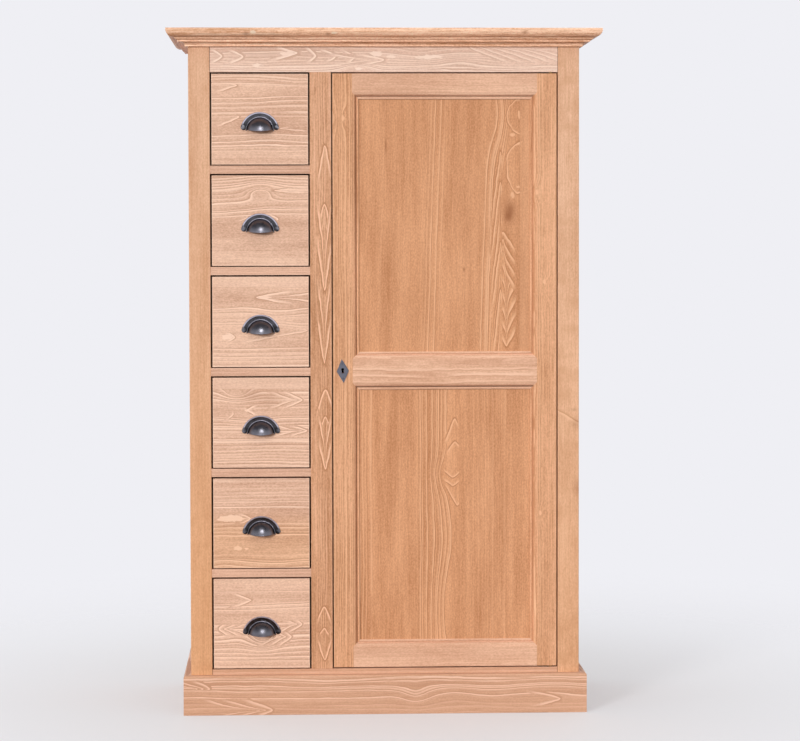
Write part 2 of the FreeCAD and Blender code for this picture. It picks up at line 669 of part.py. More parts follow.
def make_wardrobe_side():
    """Hat shelf on battens, hanging rail in its sockets, and the stops that the closed door rests on."""
    space_x = (partition_x[1], inner_x[1])
    shelf_y = (front_y + SHELF_SETBACK, inner_y[1])
    batten_z = (shelf_z[0] - BATTEN_H, shelf_z[0])
    save("hat_shelf", box(space_x, shelf_y, shelf_z))
    save("shelf_battens", box((space_x[0], space_x[0] + BATTEN_W), shelf_y, batten_z),
         box((space_x[1] - BATTEN_W, space_x[1]), shelf_y, batten_z))

    rail_y = (inner_y[0] + inner_y[1]) / 2
    rail_z = shelf_z[0] - HANGING_RAIL_DOWN
    sockets = []
    for wall_x, inward in ((space_x[0], 1), (space_x[1], -1)):
        centre = Vector(wall_x, rail_y, rail_z)
        facing = ALONG_X * inward
        cup_r = HANGING_RAIL_R + HANGING_RAIL_PLAY + SOCKET_WALL
        flange = Part.makeCylinder(cup_r + SOCKET_FLANGE_W, SOCKET_FLANGE_T, centre, facing)
        cup = Part.makeCylinder(cup_r, SOCKET_L, centre, facing)
        hole_start = centre + facing * (SOCKET_FLANGE_T / 2)
        hole = Part.makeCylinder(HANGING_RAIL_R + HANGING_RAIL_PLAY, SOCKET_L, hole_start, facing)
        sockets.append(cut_all(join(flange, [cup]), [hole]))
    rail_start = space_x[0] + SOCKET_FLANGE_T / 2 + REST_GAP
    rail_end = space_x[1] - SOCKET_FLANGE_T / 2 - REST_GAP
    rail_foot = Vector(rail_start, rail_y, rail_z)
    save("hanging_rail", Part.makeCylinder(HANGING_RAIL_R, rail_end - rail_start, rail_foot, ALONG_X))
    save("rail_sockets", *sockets)

    stop_x = (door_x[0] + DOOR_STOP_FROM_EDGE, door_x[0] + DOOR_STOP_FROM_EDGE + DOOR_STOP_W)
    stop_y = (frame_y[1], frame_y[1] + DOOR_STOP_D)
    low_stop = box(stop_x, stop_y, (opening_z[0], opening_z[0] + DOOR_STOP_REACH))
    high_stop = box(stop_x, stop_y, (opening_z[1] - DOOR_STOP_REACH, opening_z[1] + DOOR_STOP_SEAT))
    save("door_stops", low_stop, high_stop)


os.makedirs("parts", exist_ok=True)
make_frame()
make_carcass()
make_mouldings()
make_drawer_carriage()
make_drawers()
make_door()
make_wardrobe_side()
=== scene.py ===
# %% [markdown]
# # A softwood chifforobe
# The carcass, drawers, door and hardware come from the frame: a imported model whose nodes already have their
# real size and place. This lesson dresses them. It gives every board its own figure, softens the edges
# that a joiner would ease, and models the small metal that is too fine for the frame.

# %% Load the frame
import math

import bmesh
import bpy
from mathutils import Matrix, Vector


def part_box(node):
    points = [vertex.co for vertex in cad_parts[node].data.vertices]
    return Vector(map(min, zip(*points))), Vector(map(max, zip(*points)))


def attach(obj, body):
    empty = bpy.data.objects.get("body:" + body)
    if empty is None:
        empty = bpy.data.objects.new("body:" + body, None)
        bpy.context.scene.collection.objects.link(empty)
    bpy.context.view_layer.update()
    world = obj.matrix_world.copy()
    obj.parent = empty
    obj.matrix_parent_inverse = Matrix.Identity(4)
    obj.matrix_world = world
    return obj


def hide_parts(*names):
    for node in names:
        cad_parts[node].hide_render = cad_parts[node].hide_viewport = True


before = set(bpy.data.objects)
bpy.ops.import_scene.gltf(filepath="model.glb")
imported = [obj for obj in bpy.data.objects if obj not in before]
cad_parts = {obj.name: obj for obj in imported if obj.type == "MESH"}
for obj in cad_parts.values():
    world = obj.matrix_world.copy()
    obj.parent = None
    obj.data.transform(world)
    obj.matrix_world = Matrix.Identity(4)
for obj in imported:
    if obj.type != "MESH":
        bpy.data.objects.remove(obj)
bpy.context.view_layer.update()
MM = 0.001

# %% [markdown]
# ## Sums with sockets
# A shader graph is arithmetic drawn as boxes. Written out node by node it is long and hard to read, so a
# small class wraps one output socket and lets Python's operators add the Math nodes. Any other node comes
# from one method, which takes the node's type, its settings, and what goes into its sockets.

# %% A finish and its wires
class Finish:
    """The nodes of a material or of the world, with the shader that they lead to."""

    def __init__(self, owner, shader="Principled BSDF"):
        owner.use_nodes = True
        self.owner = owner
        self.tree = owner.node_tree
        self.shader = self.tree.nodes[shader]

    def node(self, kind, settings=None, sockets=None, output=0):
        made = self.tree.nodes.new(kind)
        for key, value in (settings or {}).items():
            setattr(made, key, value)
        for key, value in (sockets or {}).items():
            self.put(made.inputs[key], value)
        return Wire(self, made.outputs[output])

    def put(self, socket, value):
        if isinstance(value, Wire):
            self.tree.links.new(value.socket, socket)
        else:
            socket.default_value = value

    def blend(self, factor, first, second):
        return self.node("ShaderNodeMix", {"data_type": "RGBA"}, {0: factor, 6: first, 7: second}, output=2)

    def noise(self, place, size, detail=1.0):
        sockets = {"Vector": place, "Scale": 1 / size, "Detail": detail}
        return self.node("ShaderNodeTexNoise", {}, sockets) - 0.5

    def smooth(self, value, start, end):
        settings = {"interpolation_type": "SMOOTHSTEP"}
        return self.node("ShaderNodeMapRange", settings, {"Value": value, "From Min": start, "From Max": end})

    def bump(self, height, distance):
        return self.node("ShaderNodeBump", {}, {"Height": height, "Distance": distance, "Strength": 1.0})

    def set(self, **sockets):
        for name, value in sockets.items():
            self.put(self.shader.inputs[name.replace("_", " ")], value)
        return self.owner


class Wire:
    """One output of a node, for use in sums."""

    def __init__(self, finish, socket):
        self.finish = finish
        self.socket = socket

    def other(self, output):
        return Wire(self.finish, self.socket.node.outputs[output])

    def maths(self, operation, *values):
        return self.finish.node("ShaderNodeMath", {"operation": operation}, dict(enumerate(values)))

    def __add__(self, other):
        return self.maths("ADD", self, other)

    def __sub__(self, other):
        return self.maths("SUBTRACT", self, other)

    def __rsub__(self, other):
        return self.maths("SUBTRACT", other, self)

    def __mul__(self, other):
        return self.maths("MULTIPLY", self, other)

    def __truediv__(self, other):
        return self.maths("DIVIDE", self, other)

    def __pow__(self, other):
        return self.maths("POWER", self, other)

    def __rpow__(self, other):
        return self.maths("POWER", other, self)

    def __gt__(self, other):
        return self.maths("GREATER_THAN", self, other)

    def __lt__(self, other):
        return self.maths("LESS_THAN", self, other)

    def __abs__(self):
        return self.maths("ABSOLUTE", self)

    def share(self):
        return self.maths("FRACT", self)

    __radd__ = __add__
    __rmul__ = __mul__


def colour(red, green, blue):
    """A colour given as it looks on a screen, from 0 to 255, in the linear values that shaders use."""
    def linear(value):
        share = value / 255
        return share / 12.92 if share <= 0.04045 else ((share + 0.055) / 1.055) ** 2.4
    return (linear(red), linear(green), linear(blue), 1.0)


def dress(node, material):
    """Give a node of the frame its finish."""
    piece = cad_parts[node]
    if not piece.material_slots:
        piece.data.materials.append(material)
    for slot in piece.material_slots:
        slot.material = material


print("mid grey is", round(colour(128, 128, 128)[0], 3), "in linear light")

# %% [markdown]
# ## A board and its year rings
# On this finish the soft early wood has taken up the stain and gone tan, while the hard late wood stays
# pale, so the years show as thin light lines on a darker ground, each with a dark edge. A board measures
# where a point lies, in millimetres along, across and through the grain, and a line is drawn wherever a
# distance passes a whole number of years.
#
# That distance is bent by noise, and by hills where the wood grew round a branch. Points and hooks, where
# the saw cut through a year at a slant, and loops round a knot are strokes of their own, laid over the
# straight years. Through the board the years lean back, so a line on the face carries on over the edge.

# %% Places on a board
YEAR_MM = 8.0
RIFT = 0.7
SEED_STEP = 7.3


class Board:
    """A board's finish in the making: its places in millimetres from its middle, and its year lines."""

    def __init__(self, name, node, axes, seed):
        self.finish = Finish(bpy.data.materials.new(name))
        self.seed = seed
        low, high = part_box(node)
        half = dict(zip("XYZ", (high - low) / (2 * MM)))
        self.half_along, self.half_across, self.half_through = (half[axis] for axis in axes)
        coordinates = self.finish.node("ShaderNodeTexCoord", output="Object")
        centred = self.finish.node(
            "ShaderNodeMapping",
            {"vector_type": "TEXTURE"},
            {"Vector": coordinates, "Location": (low + high) / 2, "Scale": (MM, MM, MM)},
        )
        split = self.finish.node("ShaderNodeSeparateXYZ", {}, {0: centred})
        self.along, self.across, self.through = (split.other(axis) for axis in axes)
        self.behind_face = self.through + self.half_through

    def noise(self, along_mm, across_mm, detail=1.0):
        """Noise in patches of about this length and width."""
        place = self.finish.node(
            "ShaderNodeCombineXYZ", {},
            {
                0: self.along / along_mm + SEED_STEP * self.seed,
                1: self.across / across_mm,
                2: self.through / across_mm,
            },
        )
        return self.finish.noise(place, 1.0, detail)

    def noise_of(self, value):
        """Noise that follows one number."""
        settings = {"noise_dimensions": "1D"}
        sockets = {"W": value + self.seed, "Detail": 0.0, "Scale": 1.0}
        return self.finish.node("ShaderNodeTexNoise", settings, sockets)

    def away(self, spot):
        """How far a point is from a spot, given as shares of the half length and half width."""
        return self.along - spot[0] * self.half_along, self.across - spot[1] * self.half_across

    def hill(self, spot):
        """A smooth rise round a spot, with its length and width."""
        far_along, far_across = self.away(spot)
        far_along = far_along / spot[2]
        far_across = far_across / spot[3]
        return math.e ** (0 - far_along * far_along - far_across * far_across)

    def stroke(self, distance, strength, fade=1.0, repeats=1, pitch=YEAR_MM):
        """Lay a year line over the others where the distance passes nought, and more behind it."""
        behind = (repeats - 0.45) * pitch
        here = (distance > -behind) * (distance < 0.3 * pitch) * fade
        solid = here > 0.03
        self.year = self.year + solid * ((distance / pitch).share() - self.year)
        self.strength = self.strength + solid * (strength * here - self.strength)


print("a year is drawn", YEAR_MM, "mm wide where nothing bends it")

# %% Distance through the years
WAVER_SIZE = (270.0, 60.0)
QUIVER_SIZE = (36.0, 17.0)
QUIVER_MM = 3.4


def straight_years(board, heart, sway, swirls, waver, lean, seam):
    """Distance from the heart of the tree, or straight across the board where the heart is far away."""
    rings = board.across - board.along * lean + board.behind_face * RIFT
    if heart:
        middle = heart[0] * board.half_across
        depth = heart[1]
        if seam:
            beyond = board.across > seam["at"] * board.half_across
            middle = middle + beyond * (seam["heart"][0] * board.half_across - middle)
            depth = depth + beyond * (seam["heart"][1] - depth)
        if sway:
            depth = depth + (board.noise_of(board.along / sway[1]) - 0.5) * (2 * sway[0])
        from_heart = board.across - middle
        from_depth = board.through - depth
        rings = (from_heart * from_heart + from_depth * from_depth) ** 0.5
    rings = rings + board.noise(*WAVER_SIZE) * waver + board.noise(*QUIVER_SIZE, 2.0) * QUIVER_MM
    for *spot, height in swirls:
        rings = rings + board.hill(spot) * height
    return rings


print("a line moves back", RIFT, "mm for each mm behind the face")

# %% [markdown]
# ## Drawing the years
# Every year has its own strength, and some patches of a board show none. A zone is a low and a high place
# across the board and its strength; outside all zones the years are faint. A line is a place and the
# strength of one bold year there. A point is a place, the way it faces, its slope, how blunt it is, how far
# it reaches to either side in millimetres, how many years it has, their pitch, and its strength. A loop is a
# place, its half length and half width in millimetres, how many years it has, and its strength.

# %% Year lines
FAINT = 0.12
BUNCHING_MM = 26.0
BUNCHING = 1.9
RIPPLE_MM = 5.0
WOBBLE_MM = 17.0


def draw_years(board, rings, spacing, bold, zones, lines, points, loops, seam):
    """Set the board's year, from 0 to 1 between two lines, and how strongly it shows."""
    smooth = board.finish.smooth
    years = rings / spacing + board.noise_of(rings / BUNCHING_MM) * BUNCHING
    each = board.finish.node(
        "ShaderNodeTexWhiteNoise", {"noise_dimensions": "1D"},
        {"W": years.maths("FLOOR", years) + board.seed},
    )
    patch = smooth(board.noise(150.0, 34.0, 2.0), -0.3, 0.0)
    board.year = years.share()
    board.strength = bold * (0.4 + 0.75 * each) * patch
    if zones:
        shown = 0.0
        for low, high, share in zones:
            start, end = low * board.half_across, high * board.half_across
            inside = smooth(rings, start - 5, start + 3) * (1 - smooth(rings, end - 3, end + 5))
            shown = shown + share * inside
        board.strength = board.strength * (FAINT + shown)
    if lines:
        ragged = 1.0 + 1.3 * board.noise(45.0, 40.0)
    for place, share in lines:
        board.stroke(rings - place * board.half_across, share, ragged)
    ripple = board.noise(24.0, 14.0, 2.0) * RIPPLE_MM
    for *spot, facing, slope, blunt, low, high, repeats, pitch, share in points:
        far_along, far_across = board.away(spot)
        square = far_across * far_across
        bend = (square + blunt * blunt) ** 0.5
        steep = (1 + slope * slope * square / (bend * bend)) ** 0.5
        near = smooth(far_across + ripple, -low, -0.6 * low)
        near = near * (1 - smooth(far_across + ripple, 0.6 * high, high))
        distance = (facing * far_along + slope * (bend - blunt)) / steep + ripple
        board.stroke(distance, share, near, repeats, pitch)
    wobble = board.noise(46.0, 30.0, 2.0) * WOBBLE_MM
    for *spot, long, wide, repeats, share in loops:
        far_along, far_across = board.away(spot)
        far_along = far_along * (wide / long)
        round_knot = (far_along * far_along + far_across * far_across) ** 0.5 - wide
        board.stroke(round_knot + wobble, share, 1.0 + 1.5 * board.noise(22.0, 22.0), repeats)
    if seam:
        beyond = board.across > seam["at"] * board.half_across
        board.strength = board.strength * (1 - beyond * (1 - seam["bold"]))


print("outside its zones a board keeps", FAINT, "of its years' strength")

# %% [markdown]
# ## The stained wood
# Over the ground of clouds, streaks and specks come the years, then what grew in the board, such as blotches,
# pale islands and knots, and last what the maker left, with painted light among it: warmer stain where it was
# rubbed in twice, edges rubbed light with a painted highlight, painted shade on the arrises and sides that
# face the gaps, dark stain in joints, and painted shade in the hollow of a moulding. Each of these is a mask
# and a colour, blended over the others, so a board may have any of them.

# %% The ground, and what grew in it
RESIN = colour(150, 92, 56)
ISLAND_EDGE = (0.42, 0.66)
BLOTCH_EDGE = (-0.05, 0.25)


def ground(board, shade, lift, streaks):
    """Clouds, streaks, flecks and specks between two tones."""
    streak = board.noise(150.0, 2.6, 2.0)
    fleck = board.noise(26.0, 2.4, 2.0)
    speck = board.noise(5.0, 3.0)
    cloud = board.noise(340.0, 75.0, 3.0) + 0.7 * board.noise(320.0, 26.0, 2.0)
    tone = 0.5 + 1.2 * cloud + streaks * (streak + 1.1 * fleck) + 1.1 * speck
    return board.finish.blend(tone, shade, lift)


def growth(board, wood, shade, light, mottle, pale, marks):
    """Blotches, pale islands, and knots with their resin."""
    finish = board.finish
    if mottle:
        blotch = finish.smooth(board.noise(38.0, 70.0, 3.0), *BLOTCH_EDGE)
        wood = finish.blend(mottle * blotch, wood, shade)
    for spot in pale:
        mask = board.hill(spot) + 1.5 * board.noise(16.0, 7.0, 3.0)
        wood = finish.blend(0.85 * finish.smooth(mask, *ISLAND_EDGE), wood, light)
    for *spot, share in marks:
        wood = finish.blend(share * board.hill(spot), wood, RESIN)
    return wood


print("islands fade between", ISLAND_EDGE[0], "and", ISLAND_EDGE[1], "of their height")

# %% What the maker left, with painted highlight and painted shade
# Dark stain of the joints; the same colour is painted shade on the arrises in the gaps and in the recesses of
# mouldings.
DARK_STAIN_AND_SHADE = colour(92, 54, 32)
WARM = (0.94, 0.84, 0.69, 1.0)
FRONT_MM = (2.0, 5.0)
# Depths behind the face that the painted shade in a moulding's recess covers.
HOLLOW_SHADE_MM = (8.2, 9.0)
PANEL_MM = (10.6, 11.2)
# Distances from the rim: the band lightened by rubbing and a painted highlight, and the arris given painted
# shade.
RUBBED_AND_LIT_MM = (-3.2, -0.9)
ARRIS_MM = (-0.6, -0.2)
JOINT_MM = (-1.6, -0.4)
GLUE_MM = (0.3, 1.0)


def rubbed_in(board, wood, warm):
    """Warmer stain towards one end or one side of the board."""
    way, start, end, share = warm
    place, half = board.along, board.half_along
    if way == "across":
        place, half = board.across, board.half_across
    lower = board.finish.smooth(place, start * half, end * half) * share
    settings = {"data_type": "RGBA", "blend_type": "MULTIPLY"}
    return board.finish.node("ShaderNodeMix", settings, {0: lower, 6: wood, 7: WARM}, output=2)


def worked(board, wood, shade, light, edge, joint, hollow, seam):
    """Edges rubbed light with a painted highlight, painted shade in the gaps and in a moulding's recess,
    joints, and glue lines between staves.
    """
    finish = board.finish
    if edge:
        beyond_end = abs(board.along) - board.half_along
        rim = board.along.maths("MAXIMUM", beyond_end, abs(board.across) - board.half_across)
        front = 1 - finish.smooth(board.behind_face, *FRONT_MM)
        # Near the rims of the face the wood is lighter: rubbed by wear, and a painted highlight on the eased
        # edge.
        wood = finish.blend(edge * front * finish.smooth(rim, *RUBBED_AND_LIT_MM), wood, light)
        # The outer arris and the first millimetres of the sides get painted shade, the shade in the gaps
        # round drawers and openings.
        wood = finish.blend(0.9 * front * finish.smooth(rim, *ARRIS_MM), wood, DARK_STAIN_AND_SHADE)
    if joint:
        end = abs(board.along) - (board.half_along - joint)
        wood = finish.blend(0.8 * finish.smooth(end, *JOINT_MM), wood, DARK_STAIN_AND_SHADE)
    # Painted shade in the recess of the moulding, one strength below the board's middle and one above, darker
    # on the sides turned from the light.
    if hollow:
        below, above = hollow
        depth = finish.smooth(board.behind_face, *HOLLOW_SHADE_MM)
        depth = depth * (1 - finish.smooth(board.behind_face, *PANEL_MM))
        side = below + (board.across > 0.0) * (above - below)
        wood = finish.blend(depth * side, wood, DARK_STAIN_AND_SHADE)
    if seam:
        past_seam = board.across - seam["at"] * board.half_across
        wood = finish.blend(0.4 * (1 - finish.smooth(abs(past_seam), *GLUE_MM)), wood, shade)
        if "light" in seam:
            wood = finish.blend(seam["light"] * (past_seam > 0.0), wood, light)
    return wood


# The recess is darkened with painted shade, not stain, between these depths.
print("hollows are stained from", HOLLOW_SHADE_MM[0], "to", PANEL_MM[1], "mm behind the face")

# %% The finish of a board
LATE_START = (0.46, 0.88)
LATE_END = (0.95, 1.0)
EARLY_END = (0.02, 0.34)
LIFT = 0.9
WOOD_ROUGH = 0.52
WOOD_SPECULAR = 0.35
LINE_RISE = 0.00012


def pine(
    name, node, axes, tones, seed, heart=None, spacing=YEAR_MM, bold=0.9, sway=None, waver=9.0, lean=0.0,
    swirls=(), zones=(), lines=(), points=(), loops=(), seam=None, pale=(), marks=(), streaks=1.0, mottle=0.0,
    warm=None, edge=0.0, joint=None, hollow=None,
):
    """Finish for a board: axes name the directions along the grain, across it and through the board."""
    board = Board(name, node, axes, seed)
    finish = board.finish
    rings = straight_years(board, heart, sway, swirls, waver, lean, seam)
    draw_years(board, rings, spacing, bold, zones, lines, points, loops, seam)
    late = finish.smooth(board.year, *LATE_START) * (1 - finish.smooth(board.year, *LATE_END))
    late = late * board.strength
    early = (1 - finish.smooth(board.year, *EARLY_END)) * board.strength
    fibre = board.noise(45.0, 0.7, 2.0)

    dark_tone, middle_tone, light_tone = tones
    shade = colour(*dark_tone)
    light = colour(*light_tone)
    lift = colour(*(middle + LIFT * (middle - dark) for dark, middle in zip(dark_tone, middle_tone)))
    wood = ground(board, shade, lift, streaks)
    wood = finish.blend(0.95 * early, wood, shade)
    wood = finish.blend(late, wood, light)
    wood = growth(board, wood, shade, light, mottle, pale, marks)
    wood = finish.blend(0.2 * finish.smooth(fibre, 0.0, 0.3), wood, shade)
    if warm:
        wood = rubbed_in(board, wood, warm)
    wood = worked(board, wood, shade, light, edge, joint, hollow, seam)
    return finish.set(
        Base_Color=wood,
        Roughness=WOOD_ROUGH + 0.12 * fibre - 0.06 * late,
        Specular_IOR_Level=WOOD_SPECULAR,
        Normal=finish.bump(late + 0.6 * fibre, LINE_RISE),
    )


FIGURED = []


def figured(node, axes, tones, seed, **figure):
    """Dress a board of the frame in its own stained pine."""
    dress(node, pine("pine_" + node, node, axes, tones, seed, **figure))
    FIGURED.append(node)


print("late wood stands", LINE_RISE / MM, "mm proud")

# %% [markdown]
# ## Choosing the boards
# A maker picks boards for where they go: calm straight grain for stiles, lively flat-sawn pieces for rails
# and drawer fronts. Places on a board are shares of its half length and half width, so a figure stays on its
# board if a size changes. A swirl is a place, a length, a width and a height; a pale island and a mark have
# no height, and a mark ends with its strength. A seam is the glue line between two staves. The number after
# the tones is the board's seed. Tones are the dark edge of a year, the stained ground and the late wood.

# %% Tones of the stain
DRAWER_TONES = ((201, 155, 128), (224, 181, 154), (254, 217, 192))
TOP_RAIL_TONES = ((212, 173, 150), (231, 194, 172), (255, 228, 209))
RAIL_TONES = ((199, 153, 127), (218, 172, 145), (242, 200, 174))
PANEL_TONES = ((186, 126, 85), (210, 150, 108), (238, 184, 144))
DOOR_STILE_TONES = ((193, 136, 96), (217, 160, 120), (244, 192, 151))
DOOR_RAIL_TONES = ((209, 158, 127), (227, 179, 148), (246, 202, 172))
STILE_TONES = ((207, 155, 118), (224, 175, 140), (243, 198, 164))
CENTRE_TONES = ((184, 129, 91), (209, 155, 118), (250, 201, 168))
PLINTH_TONES = ((200, 150, 119), (212, 163, 132), (246, 203, 176))
CORNICE_TONES = ((214, 156, 116), (250, 198, 162), (255, 230, 204))
print("ground of the drawers", DRAWER_TONES[1], "and of the panels", PANEL_TONES[1])

# %% Drawer fronts
DRAWERS = range(1, 7)
# edge sets the drawer fronts' light rims, rubbed wear with a painted highlight, and turns on painted shade on
# their sides in the gaps.
DRAWER_WOOD = {"edge": 0.4, "spacing": 9.5, "streaks": 0.5}
figured(
    "drawer_front_1", "XZY", DRAWER_TONES, 4.0, **DRAWER_WOOD,
    zones=[(0.05, 0.3, 0.7), (-0.7, -0.45, 0.9), (0.75, 1, 0.6)],
    lines=[(0.9, 0.6), (0.8, 0.8), (0.46, 1), (0.36, 0.8), (-0.37, 0.9), (-0.5, 0.9), (-0.58, 1)],
    swirls=[(0.9, 0.78, 70, 30, 8), (0.95, 0.5, 90, 24, -9), (0.1, -0.42, 60, 20, -5)],
    points=[
        (-0.47, 0.74, 1, 3.2, 2, 17, 3, 1, 12, 1), (-0.42, 0.05, 1, 2.4, 3, 26, 3, 1, 12, 1),
        (0.42, -0.2, -1, 9, 2, 9, 3, 1, 9, 0.8),
    ],
)
figured(
    "drawer_front_2", "XZY", DRAWER_TONES, 5.0, **DRAWER_WOOD,
    zones=[(0.24, 1, 0.7), (-1, -0.6, 0.2)],
    lines=[(0.93, 0.8), (0.74, 0.9), (0.45, 0.9), (0.28, 1), (0.17, 1)],
    swirls=[(0, 0.86, 60, 30, -10), (0.02, 0.62, 31, 16, -22), (-1, 0.22, 110, 26, 11)],
    points=[
        (0.38, 0.03, 1, 2, 3, 3, 12, 1, 12, 1), (-0.25, 0.08, 1, 2.4, 3, 12, 2, 1, 10, 0.7),
        (0.3, 0.66, -1, 12, 2, 6, 6, 1, 10, 1),
    ],
)
figured(
    "drawer_front_3", "XZY", DRAWER_TONES, 6.0, **DRAWER_WOOD,
    seam={"at": 0.765, "bold": 0.1, "light": 0.2},
    zones=[(-0.1, 0.26, 0.45), (-1, -0.55, 0.8)],
    lines=[(0.3, 1), (0.2, 0.6), (0, 0.6), (-0.58, 0.8), (-0.75, 0.8)],
    swirls=[(-0.2, 0.32, 60, 24, -4), (0.3, 0.2, 60, 26, 7), (0.95, -0.1, 50, 26, 10)],
    points=[
        (-0.09, 0.54, -1, 6, 3, 17, 17, 2, 13, 1), (-0.53, -0.34, 1, 2, 5, 12, 12, 1, 11, 1),
        (0.36, -0.31, 1, 5, 2, 18, 3, 1, 10, 0.9), (0.98, -0.2, 1, 6, 2, 16, 3, 1, 10, 0.8),
    ],
    pale=[(-0.68, -0.33, 15, 8), (0.1, 0.54, 18, 3)],
)
figured(
    "drawer_front_4", "XZY", DRAWER_TONES, 7.0, **DRAWER_WOOD,
    seam={"at": 0.75, "bold": 0.1, "light": 0.3},
    zones=[(0.3, 0.8, 1), (-0.3, 0.15, 0.7), (-1, -0.42, 0.95)],
    lines=[(0.1, 0.9), (-0.06, 0.95), (-0.18, 0.9), (-0.37, 0.95), (-0.88, 0.8)],
    swirls=[(-0.5, 0.66, 34, 19, 26), (-0.3, 0.1, 60, 20, 6), (0.2, -0.8, 90, 40, -4)],
    points=[
        (0.87, 0.5, 1, 2.4, 3, 22, 22, 2, 12, 1), (-0.3, 0.28, -1, 1.8, 2, 15, 15, 1, 11, 1),
        (0.95, -0.18, 1, 3.2, 3, 14, 14, 2, 11, 1), (-0.56, 0.2, 1, 1.6, 5, 15, 4, 1, 9, 0.8),
    ],
    pale=[(-0.28, 0.28, 9, 5)],
    marks=[(-0.2, 0.6, 26, 14, 0.28), (0.18, 0.52, 30, 20, 0.25)],
)
figured(
    "drawer_front_5", "XZY", DRAWER_TONES, 8.0, **DRAWER_WOOD, warm=("across", 0.4, -0.2, 0.75),
    zones=[(0.5, 1, 0.3), (-0.24, 0, 0.6), (-1, -0.72, 0.9)],
    lines=[(0.62, 0.5), (0.48, 0.6), (0.36, 1), (-0.1, 0.9), (-0.26, 1), (-0.84, 1), (-0.95, 0.9)],
    swirls=[(-0.75, -0.86, 30, 12, -5), (0.3, -0.9, 60, 26, 6)],
    points=[(-0.22, 0.1, 1, 3, 7, 14, 14, 1, 13, 0.9)],
    pale=[(-0.62, 0.1, 42, 9), (-0.48, -0.56, 11, 5), (-0.3, -0.57, 8, 4)],
)
figured(
    "drawer_front_6", "XZY", DRAWER_TONES, 9.0, **DRAWER_WOOD,
    zones=[(0.2, 0.42, 0.6), (-0.5, 0, 1.1), (-1, -0.5, 0.95)],
    lines=[(0.72, 0.5), (0.38, 1), (0.3, 0.8), (-0.62, 0.9), (-0.72, 1)],
    swirls=[(0.9, 0.35, 110, 30, -7), (-0.95, -0.3, 50, 26, 13), (0.02, -0.36, 40, 24, 34)],
    points=[
        (-0.21, 0.52, 1, 2.6, 2, 18, 18, 1, 12, 1), (0.84, -0.02, 1, 1.7, 4, 22, 10, 2, 12, 0.95),
        (-0.9, -0.12, -1, 1.6, 5, 18, 12, 3, 13, 0.9), (0.62, -0.3, 1, 1.5, 5, 24, 12, 3, 13, 0.9),
    ],
)
print("boards figured so far:", len(FIGURED))

# %% Face frame
figured(
    "stile_left", "ZXY", STILE_TONES, 11.0, bold=0.15, mottle=0.25, streaks=0.6,
    warm=("along", 0.8, -0.8, 1),
)
figured(
    "stile_right", "ZXY", STILE_TONES, 12.0, bold=0.15, mottle=0.5, streaks=0.8,
    warm=("along", 1, -1, 0.65),
    points=[(-0.102, -1, 1, 0.62, 2, 3, 80, 1, 15, 1)],
    marks=[(-0.14, 0.75, 14, 12, 0.35), (-0.33, 0.8, 22, 9, 0.35), (-0.1, 0.55, 4, 8, 0.3)],
)
figured(
    "stile_centre", "ZXY", CENTRE_TONES, 13.0, spacing=9, waver=16, warm=("along", 1, -1, 0.2),
    zones=[(-1, 1, 0.45)],
    points=[
        (0.737, 0.4, 1, 5.5, 4, 19, 17, 1, 13, 1), (0.547, 0.35, 1, 4.4, 5, 21, 18, 2, 13, 1),
        (0.264, 0.35, -1, 7, 3, 21, 18, 2, 13, 1), (0.026, 0.3, -1, 7, 3, 19, 18, 2, 13, 1),
        (-0.058, 0.4, 1, 3.4, 7, 26, 17, 1, 13, 1), (-0.146, 0.38, 1, 3.2, 6, 17, 15, 1, 12, 0.9),
        (-0.32, 0.36, -1, 4.4, 3, 19, 17, 2, 13, 1), (-0.77, 0.2, 1, 3.2, 9, 19, 19, 1, 12, 1),
        (-0.947, 0.25, -1, 3.6, 5, 19, 19, 1, 12, 1), (-0.84, 0.2, 1, 2.2, 7, 13, 13, 1, 11, 0.9),
    ],
)
figured(
    "top_rail", "XZY", TOP_RAIL_TONES, 14.0, spacing=9, waver=16, streaks=0.6, joint=20,
    zones=[(-1, -0.45, 0.8), (-0.45, 1, 0.4)],
    points=[
        (-0.885, -0.08, 1, 1.8, 6, 18, 18, 1, 15, 1), (-0.77, -0.1, 1, 2.3, 6, 18, 18, 1, 16, 1),
        (-0.475, 0.1, 1, 3.4, 3, 20, 17, 1, 17, 1), (-0.372, -0.05, 1, 1.6, 9, 18, 22, 1, 16, 1),
        (-0.263, -0.1, 1, 2.4, 7, 14, 20, 1, 15, 1), (-0.158, -0.15, 1, 2, 7, 16, 20, 1, 14, 0.9),
        (0, -0.3, 1, 5, 5, 12, 16, 2, 14, 0.9), (0.46, 0.55, -1, 2.7, 8, 48, 6, 6, 12, 0.7),
    ],
    swirls=[(0.2, 0.1, 60, 18, 11), (-0.14, -0.85, 42, 20, -15), (0.42, -0.4, 60, 16, -7)],
    lines=[(0.62, 0.5), (0.12, 0.9), (-0.2, 0.6), (-0.62, 0.8), (-0.86, 0.7)],
    pale=[
        (-0.7, -0.62, 12, 6), (-0.14, -0.8, 10, 4), (-0.04, 0.05, 18, 7), (0.25, -0.1, 34, 6),
        (-0.53, 0.08, 24, 5), (0.04, -0.1, 12, 4),
    ],
)
figured("bottom_rail", "XZY", PLINTH_TONES, 15.0, bold=0.6, joint=20)
figured("drawer_rails", "XZY", RAIL_TONES, 16.0, bold=0.55, spacing=7)
print("boards figured so far:", len(FIGURED))

